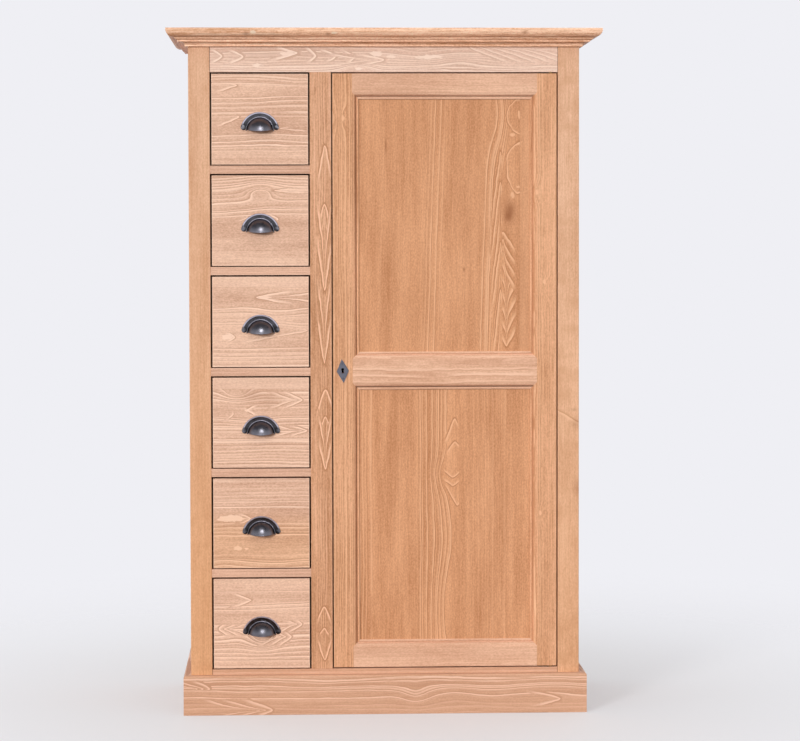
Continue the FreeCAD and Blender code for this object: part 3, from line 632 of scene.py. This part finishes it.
# %% Door
# Two numbers per board set painted shade in the recess of its moulding, below and above its middle, darkest
# on the sides that face away from the light.
figured(
    "door_stile_left", "ZXY", DOOR_STILE_TONES, 31.0, bold=0.8, spacing=7, hollow=(0, 0.4),
    swirls=[(0.85, -0.15, 26, 8, 12), (0.85, -0.8, 40, 10, -10)],
    pale=[(0.85, -0.2, 9, 5)],
)
figured(
    "door_stile_right", "ZXY", DOOR_STILE_TONES, 32.0, bold=0.8, spacing=7, hollow=(0.12, 0),
    zones=[(-1, -0.2, 0.9), (-0.2, 1, 0.4)],
    swirls=[(0.6, -0.4, 26, 9, 11), (0.28, 0.2, 30, 11, 16), (-0.49, -0.1, 26, 9, 12)],
    pale=[(0.6, -0.5, 7, 4), (0.3, 0.1, 8, 5), (-0.48, -0.2, 8, 4), (-0.8, -0.6, 26, 4)],
)
figured("door_rail_top", "XZY", DOOR_RAIL_TONES, 33.0, bold=0.2, streaks=0.7, hollow=(0.45, 0))
figured(
    "door_rail_middle", "XZY", DOOR_RAIL_TONES, 34.0, heart=(0.5, 40), bold=0.8, spacing=7,
    hollow=(0.75, 0),
)
figured("door_rail_bottom", "XZY", DOOR_RAIL_TONES, 35.0, bold=0.2, streaks=0.7)
figured(
    "door_panel_upper", "ZXY", PANEL_TONES, 36.0, lean=0.033, spacing=9, bold=1, streaks=0.5, waver=7,
    seam={"at": 0.852, "bold": 0.15, "light": 0.2},
    zones=[(-0.22, -0.02, 0.35), (0.44, 0.64, 0.9)],
    lines=[(-0.14, 0.8), (-0.075, 0.8), (0.46, 0.9), (0.53, 0.95)],
    swirls=[(0.85, 0.62, 90, 40, -22)],
    points=[
        (0.572, 0.632, 1, 8, 2, 24, 4, 2, 11, 1), (0.339, 0.632, 1, 8, 2, 26, 4, 2, 11, 1),
        (-0.127, 0.632, 1, 8, 2, 24, 4, 2, 11, 1), (-0.491, 0.632, 1, 9, 2, 22, 4, 2, 11, 1),
        (-0.942, 0.7, -1, 1.9, 2, 12, 26, 6, 17, 1), (-0.05, 0.66, 1, 1.6, 4, 3, 34, 4, 16, 1),
    ],
    loops=[(0.842, 0.872, 43, 37, 1, 1), (0.443, 0.872, 66, 37, 1, 1)],
    pale=[(0.86, 0.84, 12, 3), (0.3, 0.83, 5, 7), (0.24, 0.77, 9, 5), (0.7, 0.77, 5, 8)],
    marks=[
        (0.62, -0.66, 17, 1.8, 0.75), (-0.34, 0.22, 5, 2.2, 0.75), (0.12, 0.74, 22, 13, 0.75),
        (0.07, 0.72, 12, 9, 0.75),
    ],
)
figured(
    "door_panel_lower", "ZXY", PANEL_TONES, 37.0, spacing=9, bold=0.95, streaks=0.6,
    seam={"at": 0.165, "bold": 0.55},
    zones=[(-0.3, 0, 0.7), (0.3, 0.75, 0.45), (-1, -0.8, 0.5)],
    lines=[(-0.27, 0.7), (-0.2, 0.8), (-0.14, 0.9), (-0.07, 1), (0.02, 1)],
    swirls=[(0.31, 0.03, 38, 32, 24), (-0.18, 0.05, 100, 34, -12), (-0.7, 0.03, 80, 30, 8)],
    points=[
        (0.747, 0.115, 1, 2.6, 4, 30, 9, 1, 13, 1), (0.571, 0.115, 1, 1.6, 5, 22, 12, 1, 12, 1),
        (0.286, 0.087, -1, 0.9, 4, 24, 20, 1, 11, 1), (0.223, 0.09, -1, 0.8, 4, 27, 18, 1, 11, 1),
        (0.069, 0.14, -1, 1.8, 3, 34, 4, 1, 11, 1),
    ],
)
print("boards figured so far:", len(FIGURED))

# %% Cornice, plinth, sides and top
CORNICE_WOOD = {"bold": 0.5, "spacing": 6.0, "waver": 14.0, "streaks": 1.3}
figured(
    "plinth_front", "XZY", PLINTH_TONES, 51.0, spacing=11, bold=1, waver=20,
    zones=[(0.1, 0.85, 0.9), (-1, -0.2, 0.25)],
    lines=[(0.66, 0.8), (0.42, 0.9), (0.2, 0.8), (-0.12, 1)],
    points=[
        (0.87, -0.3, 1, 4.4, 6, 20, 22, 1, 14, 1), (-0.56, -0.75, 1, 3, 6, 14, 30, 3, 15, 0.9),
        (-0.87, 0.35, 1, 2.6, 9, 3, 22, 3, 15, 0.9),
    ],
    swirls=[(0.15, -0.1, 34, 26, 15), (0.36, -0.05, 60, 26, -9), (0.75, 0.2, 90, 30, -8)],
)
figured("plinth_left", "YZX", PLINTH_TONES, 52.0, heart=(-0.6, 30), sway=(12, 200))
figured("plinth_right", "YZX", PLINTH_TONES, 53.0, heart=(0.4, 30), sway=(12, 200))
figured(
    "cornice_front", "XZY", CORNICE_TONES, 54.0, **CORNICE_WOOD,
    marks=[(-0.634, 0.35, 7, 4, 0.6), (-0.26, 0.3, 6, 3, 0.6), (0.643, 0.5, 7, 4, 0.6)],
    pale=[(-0.235, 0.4, 9, 4), (-0.6, 0.5, 9, 4)],
)
figured("cornice_left", "YZX", CORNICE_TONES, 55.0, **CORNICE_WOOD)
figured("cornice_right", "YZX", CORNICE_TONES, 56.0, **CORNICE_WOOD)
figured(
    "side_panel_left", "ZYX", PANEL_TONES, 57.0, heart=(-0.35, 16), sway=(14, 260), spacing=11, streaks=0.6,
    seam={"at": 0.1, "heart": (0.7, 30), "bold": 0.7},
)
figured(
    "side_panel_right", "ZYX", PANEL_TONES, 58.0, heart=(0.45, 16), sway=(14, 260), spacing=11, streaks=0.6,
    seam={"at": -0.05, "heart": (0.5, 34), "bold": 0.7},
)
figured(
    "top_board", "XYZ", STILE_TONES, 59.0, heart=(0.3, 18), sway=(14, 220),
    seam={"at": -0.1, "heart": (-0.6, 24), "bold": 0.7},
)
print("boards figured so far:", len(FIGURED))

# %% Inside, where the wood has no stain
RAW_TONES = ((222, 184, 145), (238, 207, 172), (208, 162, 118))
INSIDE_BOARDS = {
    "partition_panel": "ZYX", "carcass_floor": "XYZ", "hat_shelf": "XYZ", "shelf_battens": "YZX",
    "base_rail_back": "XZY", "back_panel": "ZXY", "drawer_runners": "YXZ", "drawer_kickers": "YXZ",
    "drawer_guides": "YZX", "drawer_stops": "XZY", "door_stops": "ZXY",
}
INSIDE_BOARDS.update({"drawer_box_%d" % number: "YZX" for number in DRAWERS})
RAW_WOOD = {"heart": (-0.4, 30.0), "sway": (12.0, 240.0), "spacing": 11.0, "bold": 0.6, "streaks": 0.6}
for number, (node, axes) in enumerate(INSIDE_BOARDS.items()):
    dress(node, pine("raw_" + node, node, axes, RAW_TONES, 71.0 + number, **RAW_WOOD))
print("figured", len(INSIDE_BOARDS), "boards inside")

# %% [markdown]
# ## Eased edges
# No hand leaves a softwood arris sharp, and that narrow round is what catches the light and draws the joints.
# The frame's solids have sharp edges, so a Weld joins their loose triangles and a Bevel rounds what is left,
# by an angle limit so that flat faces keep their triangles.

# %% Round the arrises
SOFT_ARRIS = 0.0012
FINE_ARRIS = 0.0005
DRAWER_ARRIS = 0.0008
WELD_REACH = 0.00001
SHARP = math.radians(50)


def ease(node, width):
    """Round the sharp edges of a board by a small width."""
    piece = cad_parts[node]
    weld = piece.modifiers.new("weld", "WELD")
    weld.merge_threshold = WELD_REACH
    bevel = piece.modifiers.new("eased edges", "BEVEL")
    bevel.width = width
    bevel.segments = 2
    bevel.limit_method = "ANGLE"
    bevel.angle_limit = SHARP
    bevel.use_clamp_overlap = False


for node in ("stile_left", "stile_right", "top_rail", "side_panel_left", "side_panel_right"):
    ease(node, SOFT_ARRIS)
for node in ("stile_centre", "drawer_rails", "bottom_rail", "plinth_front", "plinth_left", "plinth_right"):
    ease(node, FINE_ARRIS)
for number in DRAWERS:
    ease("drawer_front_%d" % number, DRAWER_ARRIS)
eased = [node for node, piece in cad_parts.items() if piece.modifiers]
print("eased the edges of", len(eased), "nodes")

# %% [markdown]
# ## Metal
# The cup pulls and the key plate are iron with a dark antique finish: a brown-black skin, rubbed through to
# grey on the rims. The wear belongs to the shape, so each pull carries a value on its points and the finish
# reads it; that value holds the wear together with a painted highlight on the upper rims, the bead and the
# lip, and painted shade over the back of the dome. The lock is black iron, and the hinges and the hanging
# rail are plain shop hardware.

# %% Metal finishes
EDGE_TINT = (0.3, 0.3, 0.32, 1.0)


def metal(name, body, brightening, rough, wear_attribute=False, scale=0.012):
    """Metal with clouded tone and fine scratches; a pull's point values lighten it for rubbing and painted
    highlight, and darken it for painted shade.
    """
    finish = Finish(bpy.data.materials.new(name))
    place = finish.node("ShaderNodeTexCoord", output="Object")
    cloud = finish.noise(place, scale, 3.0)
    grain = finish.noise(place, scale / 14, 2.0)
    mask = finish.smooth(cloud + 0.5 * grain, -0.05, 0.4) * 0.35
    skin = colour(*body)
    if wear_attribute:
        wear = finish.node("ShaderNodeAttribute", {"attribute_name": "wear"}, output="Fac")
        # On a pull the bright tone follows the point values: rubbed rims together with painted highlights.
        mask = mask * 0.3 + finish.smooth(wear + 0.3 * cloud, 0.1, 1.0)
        mask = mask.maths("MINIMUM", mask, 1.0)
        # Below nought the skin is darkened: the flat ring's dark skin, and painted shade over the back of the
        # dome.
        skin = finish.blend(finish.smooth(wear, -1.0, 0.0), colour(*(0.3 * part for part in body)), skin)
    return finish.set(
        Base_Color=finish.blend(mask, skin, colour(*brightening)),
        Metallic=1.0,
        Specular_Tint=EDGE_TINT,
        Roughness=rough + 0.3 * cloud + 0.12 * grain + 0.15 * mask,
        Normal=finish.bump(grain, 0.00008),
    )


# The pull's bright tone stands both for iron rubbed bare and for painted highlights.
iron = metal("dark_iron", (118, 117, 124), (222, 220, 236), 0.32, wear_attribute=True)
plate_iron = metal("plate_iron", (112, 112, 122), (146, 145, 154), 0.55)
lock_iron = metal("lock_iron", (52, 50, 52), (84, 82, 84), 0.6)
zinc = metal("lock_zinc", (150, 152, 156), (196, 198, 202), 0.38)
brass = metal("hinge_brass", (176, 138, 74), (214, 180, 112), 0.35)
chrome = metal("rail_chrome", (186, 188, 192), (222, 224, 226), 0.2)
METAL_NODES = {
    "key_plate": plate_iron,
    "lock_case": lock_iron,
    "lock_bolt": lock_iron,
    "hinge_frame_leaves": brass,
    "hinge_door_leaves": brass,
    "hanging_rail": chrome,
    "rail_sockets": zinc,
}
for node, material in METAL_NODES.items():
    dress(node, material)
print("metal on", len(METAL_NODES), "nodes")

# %% [markdown]
# ## Cup pulls
# A cup pull is one casting: a half ring that lies on the drawer, two round feet, and a dome for the fingers.
# The ring is a small section spun about the middle, the dome is a ball cut off flat behind and below and
# given its wall, and a rolled lip follows the dome's open edge. All of it is made round the ring's centre in
# millimetres, and then put on its drawer.

# %% Shape of a pull
RING_R = 47.5
RING_START = math.radians(14)
RING_INNER_R = 29.0
FOOT_R = 6.4
DOME_R = 35.0
DOME_UP = 2.0
DOME_SUNK = 11.0
LIP_BACK = Vector((0, 0, 6.0))
LIP_TILT = math.radians(12.2)
LIP_UP = Vector((0, -math.sin(LIP_TILT), math.cos(LIP_TILT)))
DOME_WALL = 2.0
PIN_R = 2.1
BEAD_R = 1.1
LIP_R = 1.1
RING_SECTION = [
    (RING_INNER_R, 0.0), (RING_R - 0.2, 0.0), (RING_R, 0.9), (RING_R - 0.5, 2.0), (RING_R - 1.5, 2.6),
    (RING_R - 3.2, 2.3), (RING_R - 4.0, 1.7), (RING_INNER_R, 1.9),
]
FORWARDS = Vector((0, -1, 0))


def disc(bm, radius, depth, centre, bevel):
    """Disc on the drawer front with a rounded outer edge."""
    made = bmesh.ops.create_cone(
        bm, cap_ends=True, segments=40, radius1=radius, radius2=radius, depth=depth,
        matrix=Matrix.Translation(centre) @ Matrix.Rotation(math.radians(90), 4, "X"),
    )
    front = min(vert.co.y for vert in made["verts"])
    edges = dict.fromkeys(edge for vert in made["verts"] for edge in vert.link_edges)
    rim = [edge for edge in edges if all(vert.co.y < front + bevel / 10 for vert in edge.verts)]
    bmesh.ops.bevel(
        bm, geom=rim, offset=bevel, offset_type="OFFSET", segments=4, affect="EDGES", profile=0.5, material=-1
    )


def ring_and_feet():
    """The half ring with its feet and its pin."""
    bm = bmesh.new()
    turn = Matrix.Rotation(RING_START, 3, FORWARDS)
    section = [bm.verts.new(turn @ Vector((radius, -out, 0))) for radius, out in RING_SECTION]
    face = bm.faces.new(section)
    bmesh.ops.spin(
        bm, geom=[face, *face.edges, *face.verts], cent=(0, 0, 0), axis=FORWARDS,
        angle=math.pi - 2 * RING_START, steps=56, use_merge=False,
    )
    foot_out = RING_R - FOOT_R
    feet = [
        Vector((side * foot_out * math.cos(RING_START), 0, foot_out * math.sin(RING_START)))
        for side in (-1, 1)
    ]
    for place in feet:
        disc(bm, FOOT_R, 2.0, place + FORWARDS * 1.0, 0.5)
    disc(bm, PIN_R, 2.0, Vector((0, 0, RING_R - 8.0)) + FORWARDS * 2.0, 1.0)
    return bm


print("ring section:", len(RING_SECTION), "points")

# %% The hollow dome
def roll(bm, place, radius, centre, axis, first, sweep):
    """A round bead along an arc."""
    onwards = axis.cross(Vector((1, 0, 0)))
    upright = Vector((0, 0, 1)).rotation_difference(onwards).to_matrix().to_4x4()
    loop = bmesh.ops.create_circle(bm, segments=14, radius=radius, matrix=Matrix.Translation(place) @ upright)
    end = bm.faces.new(loop["verts"])
    bmesh.ops.rotate(bm, verts=end.verts, cent=centre, matrix=Matrix.Rotation(first, 3, axis))
    bmesh.ops.spin(
        bm, geom=[end, *end.edges, *end.verts], cent=centre, axis=axis, angle=sweep, steps=48, use_merge=False
    )


def dome_with_lip():
    """The cup, its rolled lip, and the bead where it meets the ring; also the radius of that meeting."""
    dome = bmesh.new()
    bmesh.ops.create_uvsphere(
        dome, u_segments=72, v_segments=36, radius=DOME_R, matrix=Matrix.Translation((0, DOME_SUNK, DOME_UP))
    )
    for place, normal in (((0, -0.4, 0), (0, 1, 0)), (LIP_BACK, -LIP_UP)):
        bmesh.ops.bisect_plane(
            dome, geom=dome.verts[:] + dome.edges[:] + dome.faces[:], plane_co=place, plane_no=normal,
            clear_outer=True,
        )
    bmesh.ops.recalc_face_normals(dome, faces=dome.faces)
    bmesh.ops.solidify(dome, geom=dome.faces[:], thickness=DOME_WALL)
    middle = Vector((0, DOME_SUNK, DOME_UP))
    over_lip = (middle - LIP_BACK).dot(LIP_UP)
    lip_middle = middle - LIP_UP * over_lip
    lip_r = math.sqrt(DOME_R ** 2 - over_lip ** 2) - DOME_WALL / 2
    sunk = math.asin((lip_middle.y + 0.6) / (lip_r * math.cos(LIP_TILT)))
    roll(dome, lip_middle + Vector((lip_r, 0, 0)), LIP_R, lip_middle, -LIP_UP, sunk, math.pi - 2 * sunk)
    meeting_r = DOME_R * math.cos(math.asin((DOME_SUNK + 1.5) / DOME_R))
    bead = Vector((meeting_r + 0.5, -1.7, DOME_UP))
    roll(dome, bead, BEAD_R, (0, 0, DOME_UP), FORWARDS, 0.0, math.pi)
    return dome, meeting_r


def brightening(place, meeting_r):
    """How far the skin is rubbed through at a point of the pull, with painted highlight on the upper rim,
    bead and lip, and painted shade at the dome's back.
    """
    out = -place.y
    radius = math.hypot(place.x, place.z)
    from_dome = math.hypot(place.x, place.z - DOME_UP)
    # The rim and the bead are lightened only above the feet: wear together with a painted highlight on the
    # top of the ring.
    above_feet = min(max((place.z - 15) / 6, 0), 1)
    if radius > RING_R - 3.5 and out > 0.5:
        return 0.9 * above_feet
    if meeting_r - 0.2 < from_dome < meeting_r + 2.0 and 1.0 < out < 3.2:
        return 0.55 * above_feet
    # The lip is lightened: rubbed by the fingers, with a painted highlight.
    if (place - LIP_BACK).dot(LIP_UP) < 1.2 and out > 8.0:
        return 0.3
    # The flat ring keeps a dark skin, lighter above the feet as a painted highlight on the top.
    if out < 3.0:
        return 0.35 * above_feet - 0.9
    # The dome darkens towards the drawer: painted shade over its top and back.
    return min(out / 15, 1) - 1


def join(whole, part, matrix=Matrix()):
    """Add a shape to another one, at a place."""
    mesh = bpy.data.meshes.new("part")
    part.to_mesh(mesh)
    mesh.transform(matrix)
    whole.from_mesh(mesh)
    bpy.data.meshes.remove(mesh)


def pull_shape():
    """The pull's mesh round its ring's centre, in millimetres, with rubbing, painted highlight and painted
    shade on its points.
    """
    bm = ring_and_feet()
    dome, meeting_r = dome_with_lip()
    join(bm, dome)
    dome.free()
    bmesh.ops.recalc_face_normals(bm, faces=bm.faces)
    # Each point carries one value for rubbing, painted highlight and painted shade.
    wear = bm.verts.layers.float.new("wear")
    for vert in bm.verts:
        vert[wear] = brightening(vert.co, meeting_r)
    return bm


print("dome of", DOME_R, "mm radius with a wall of", DOME_WALL, "mm")

# %% Put the pulls on their drawers
def finished(name, bm, material, body, place=(0, 0, 0)):
    """Make a piece from a shape in millimetres, set it down, and let it ride on its body."""
    mesh = bpy.data.meshes.new(name)
    bm.to_mesh(mesh)
    mesh.transform(Matrix.Translation(place) @ Matrix.Scale(MM, 4))
    mesh.polygons.foreach_set("use_smooth", [True] * len(mesh.polygons))
    mesh.set_sharp_from_angle(angle=math.radians(40))
    mesh.materials.append(material)
    piece = bpy.data.objects.new(name, mesh)
    bpy.context.scene.collection.objects.link(piece)
    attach(piece, body)
    return piece


pull = pull_shape()
casts = []
for number in DRAWERS:
    low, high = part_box("cup_pull_%d" % number)
    middle = Vector(((low.x + high.x) / 2, high.y, high.z - RING_R * MM))
    cast = finished("cast_pull_%d" % number, pull, iron, "drawer_%d" % number, middle)
    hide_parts("cup_pull_%d" % number)
    casts.append(cast)
print("pull:", len(pull.faces), "faces each")
pull.free()

# %% [markdown]
# ## Small fasteners
# Two round pins hold the key plate. The lock case and the rail's sockets have slotted screws, and the back is
# nailed on. A screw head is a low cone whose face is cut by two planes; the strip between them is pushed in
# for the slot. One head is modelled and copied to its places, and all the copies on a part are one piece.

# %% Heads of pins, screws and nails
SLOT_SHARE = 0.17
PLATE_TILT = math.radians(4.5)


def slotted_head(radius, rise):
    """A screw head that faces forwards, with its back at nought."""
    bm = bmesh.new()
    lay = Matrix.Translation(FORWARDS * (rise / 2)) @ Matrix.Rotation(math.radians(90), 4, "X")
    bmesh.ops.create_cone(
        bm, cap_ends=True, segments=20, radius1=radius, radius2=0.8 * radius, depth=rise, matrix=lay
    )
    for side in (-1, 1):
        bmesh.ops.bisect_plane(
            bm, geom=bm.verts[:] + bm.edges[:] + bm.faces[:], plane_co=(side * SLOT_SHARE * radius, 0, 0),
            plane_no=(1, 0, 0),
        )
    strip = [
        face for face in bm.faces
        if face.normal.y < -0.9 and abs(face.calc_center_median().x) < SLOT_SHARE * radius
    ]
    pushed = bmesh.ops.extrude_face_region(bm, geom=strip)
    slot_floor = [part for part in pushed["geom"] if isinstance(part, bmesh.types.BMVert)]
    bmesh.ops.translate(bm, verts=slot_floor, vec=FORWARDS * (-0.6 * rise))
    return bm


def round_head(radius, rise):
    """A domed head that faces forwards."""
    bm = bmesh.new()
    disc(bm, radius, rise, FORWARDS * (rise / 2), 0.7 * rise)
    return bm


def copies(head, matrices):
    """One shape with the head at each place."""
    whole = bmesh.new()
    for matrix in matrices:
        join(whole, head, matrix)
    head.free()
    return whole


def facing(direction, spin=0.0):
    """Turn a head that faces forwards so that it faces a direction."""
    turn = FORWARDS.rotation_difference(Vector(direction)).to_matrix().to_4x4()
    return turn @ Matrix.Rotation(spin, 4, FORWARDS)


print("slots are", SLOT_SHARE * 2, "of a head's radius wide")

# %% Pins of the key plate
PLATE_PIN_UP = 18.5
low, high = (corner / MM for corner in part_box("key_plate"))
middle = (low + high) / 2
tilt = Matrix.Rotation(-PLATE_TILT, 4, "Y")
pins = [
    Matrix.Translation((middle.x, low.y, middle.z)) @ tilt @ Matrix.Translation((0, 0, rise))
    for rise in (-PLATE_PIN_UP, PLATE_PIN_UP)
]
finished("key_plate_pins", copies(round_head(1.9, 1.0), pins), plate_iron, "door")
print("key plate has", len(pins), "pins")

# %% Screws
LOCK_SCREW_IN = 8.0
low, high = (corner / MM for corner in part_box("lock_case"))
corners = [
    Matrix.Translation((x, high.y, z)) @ facing((0, 1, 0), 0.7 * number)
    for number, (x, z) in enumerate(
        (x, z)
        for x in (low.x + LOCK_SCREW_IN, high.x - LOCK_SCREW_IN)
        for z in (low.z + LOCK_SCREW_IN, high.z - LOCK_SCREW_IN)
    )
]
finished("lock_screws", copies(slotted_head(3.6, 1.4), corners), brass, "door")
low, high = (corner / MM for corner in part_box("rail_sockets"))
middle = (low + high) / 2
SOCKET_FLANGE_T = 4.0
SOCKET_SCREW_OUT = 21.5
flange_screws = []
for x, direction in ((low.x + SOCKET_FLANGE_T, 1), (high.x - SOCKET_FLANGE_T, -1)):
    for number in range(3):
        angle = math.radians(90 + 120 * number)
        out = Vector((0, math.cos(angle), math.sin(angle))) * SOCKET_SCREW_OUT
        place = Vector((x, middle.y, middle.z)) + out
        flange_screws.append(Matrix.Translation(place) @ facing((direction, 0, 0), 0.9 * number))
socket_heads = copies(slotted_head(3.2, 1.2), flange_screws)
finished("socket_screws", socket_heads, zinc, "carcass")
print("screws:", len(corners) + len(flange_screws))

# %% Nails of the back
low, high = (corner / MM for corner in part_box("back_panel"))
NAIL_ROW_COUNT = 11
NAIL_INSET = 10.0
NAIL_END = 60.0
NAIL_RISE = 0.7
PARTITION_X = -153.0
nails = []
for number in range(NAIL_ROW_COUNT):
    z = low.z + NAIL_END + (high.z - low.z - 2 * NAIL_END) * number / (NAIL_ROW_COUNT - 1)
    for x in (low.x + NAIL_INSET, PARTITION_X, high.x - NAIL_INSET):
        nails.append(Matrix.Translation((x, high.y - NAIL_RISE, z)) @ facing((0, 1, 0)))
finished("back_nails", copies(round_head(3.0, NAIL_RISE), nails), zinc, "carcass")
print("nails:", len(nails))

# %% [markdown]
# ## Stage, light and camera
# The floor is pale and fades out, so that no horizon shows. It takes the object's shadow, and the camera also
# sees a share of plain backdrop colour on it, which keeps it light without more light on the wood.
#
# The light is that of a bright room. The sky is brighter above than below, which shades the undersides of the
# mouldings; a broad soft sun from the left gives them their sides; and one lamp in front, linked to the iron
# alone, puts a spot of light on the domes. Metal mirrors a pale room under a darker ceiling.

# %% Floor
BACKDROP = colour(239, 239, 244)
FLOOR_BOUNCE = colour(140, 104, 78)
FLOOR_PALE = colour(238, 237, 238)
FLOOR_SIZE = 6.0
CLEAR_FROM = 0.8
CLEAR_TO = 2.6
floor_mesh = bpy.data.meshes.new("floor")
sheet = bmesh.new()
bmesh.ops.create_grid(sheet, x_segments=1, y_segments=1, size=FLOOR_SIZE)
sheet.to_mesh(floor_mesh)
sheet.free()
floor = bpy.data.objects.new("floor", floor_mesh)
bpy.context.scene.collection.objects.link(floor)
paint = Finish(bpy.data.materials.new("pale_floor"))
spot = paint.node("ShaderNodeTexCoord", output="Object")
far = paint.node("ShaderNodeVectorMath", {"operation": "LENGTH"}, {0: spot}, output="Value")
clear = paint.node("ShaderNodeBsdfTransparent")
seen = paint.node("ShaderNodeLightPath", output="Is Camera Ray")
paint.set(Base_Color=paint.blend(seen, FLOOR_BOUNCE, FLOOR_PALE), Roughness=0.6, Specular_IOR_Level=0.2)
lit = Wire(paint, paint.shader.outputs[0])
glow = paint.node("ShaderNodeEmission", {}, {"Color": BACKDROP, "Strength": 1.0})
backdrop_share = 0.3 + 0.35 * paint.smooth(far, 0.4, 1.6)
lit = paint.node("ShaderNodeMixShader", {}, {0: backdrop_share * seen, 1: lit, 2: glow})
fade = paint.node("ShaderNodeMixShader", {}, {0: paint.smooth(far, CLEAR_FROM, CLEAR_TO), 1: lit, 2: clear})
paint.put(paint.tree.nodes["Material Output"].inputs["Surface"], fade)
floor_mesh.materials.append(paint.owner)
print("floor fades out between", CLEAR_FROM, "and", CLEAR_TO, "m")

# %% World
FILL_ABOVE = 0.8
FILL_BELOW = 0.2
CEILING = colour(105, 105, 110)
world = bpy.data.worlds.new("bright_room")
bpy.context.scene.world = world
sky = Finish(world, "Background")
direction = sky.node("ShaderNodeTexCoord", output="Generated")
height = sky.node("ShaderNodeSeparateXYZ", {}, {0: direction}, output="Z")
path = sky.node("ShaderNodeLightPath", output="Is Camera Ray")
above = [FILL_ABOVE] * 3 + [1.0]
below = [FILL_BELOW] * 3 + [1.0]
fill = sky.blend(sky.smooth(height, -0.3, 0.3), below, above)
mirrored = sky.blend(sky.smooth(height, 0.1, 0.7), BACKDROP, CEILING)
shown = sky.blend(path.other("Is Glossy Ray"), fill, mirrored)
sky.set(Color=sky.blend(path.maths("MAXIMUM", path, path.other("Is Transmission Ray")), shown, BACKDROP))
print("sky fill:", FILL_BELOW, "below to", FILL_ABOVE, "above")

# %% Lamps
def lamp(name, kind, energy, place, aim, size):
    """A lamp that looks from a place at a point."""
    data = bpy.data.lights.new(name, kind)
    data.energy = energy
    if kind == "SUN":
        data.angle = size
    else:
        data.size = size
    piece = bpy.data.objects.new(name, data)
    piece.location = place
    piece.rotation_euler = (Vector(aim) - Vector(place)).to_track_quat("-Z", "Y").to_euler()
    bpy.context.scene.collection.objects.link(piece)
    return piece


WINDOW_STRENGTH = 1.99
WINDOW_TINT = (0.97, 0.985, 1.0)
WINDOW_SPREAD = math.radians(14)
LAMP_WATTS = 75.0
LAMP_SIZE = 1.4
window = lamp("window", "SUN", WINDOW_STRENGTH, (-2.5, -4.3, 1.86), (0.0, 0.0, 0.8), WINDOW_SPREAD)
window.visible_glossy = False
window.data.color = WINDOW_TINT
spot_lamp = lamp("front_lamp", "AREA", LAMP_WATTS, (0.1, -4.4, 2.7), (0.0, 0.0, 0.85), LAMP_SIZE)
spot_lamp.visible_diffuse = False
mirrors = bpy.data.collections.new("mirrors_the_lamp")
for piece in [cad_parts["key_plate"], *casts]:
    mirrors.objects.link(piece)
spot_lamp.light_linking.receiver_collection = mirrors

# %% Camera
PIXELS_WIDE = 800
SENSOR_MM = 36.0
FACE_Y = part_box("stile_left")[0].y
DISTANCE = 6.5
METRES_PER_PIXEL = 0.0024336
EYE_X = -0.2264
EYE_Z = 1.1954
CAMERA_TURN = (87.643, 0.124, -2.221)
FRAMING_SHIFT = (0.00625, -0.045)
camera_data = bpy.data.cameras.new("camera")
camera_data.lens = DISTANCE / METRES_PER_PIXEL / PIXELS_WIDE * SENSOR_MM
camera_data.shift_x, camera_data.shift_y = FRAMING_SHIFT
camera = bpy.data.objects.new("camera", camera_data)
camera.location = (EYE_X, FACE_Y - DISTANCE, EYE_Z)
camera.rotation_euler = [math.radians(angle) for angle in CAMERA_TURN]
bpy.context.scene.collection.objects.link(camera)
bpy.context.scene.camera = camera
bpy.context.scene.view_settings.view_transform = "Standard"
print("camera", DISTANCE, "m from the face, lens", round(camera_data.lens, 2), "mm")
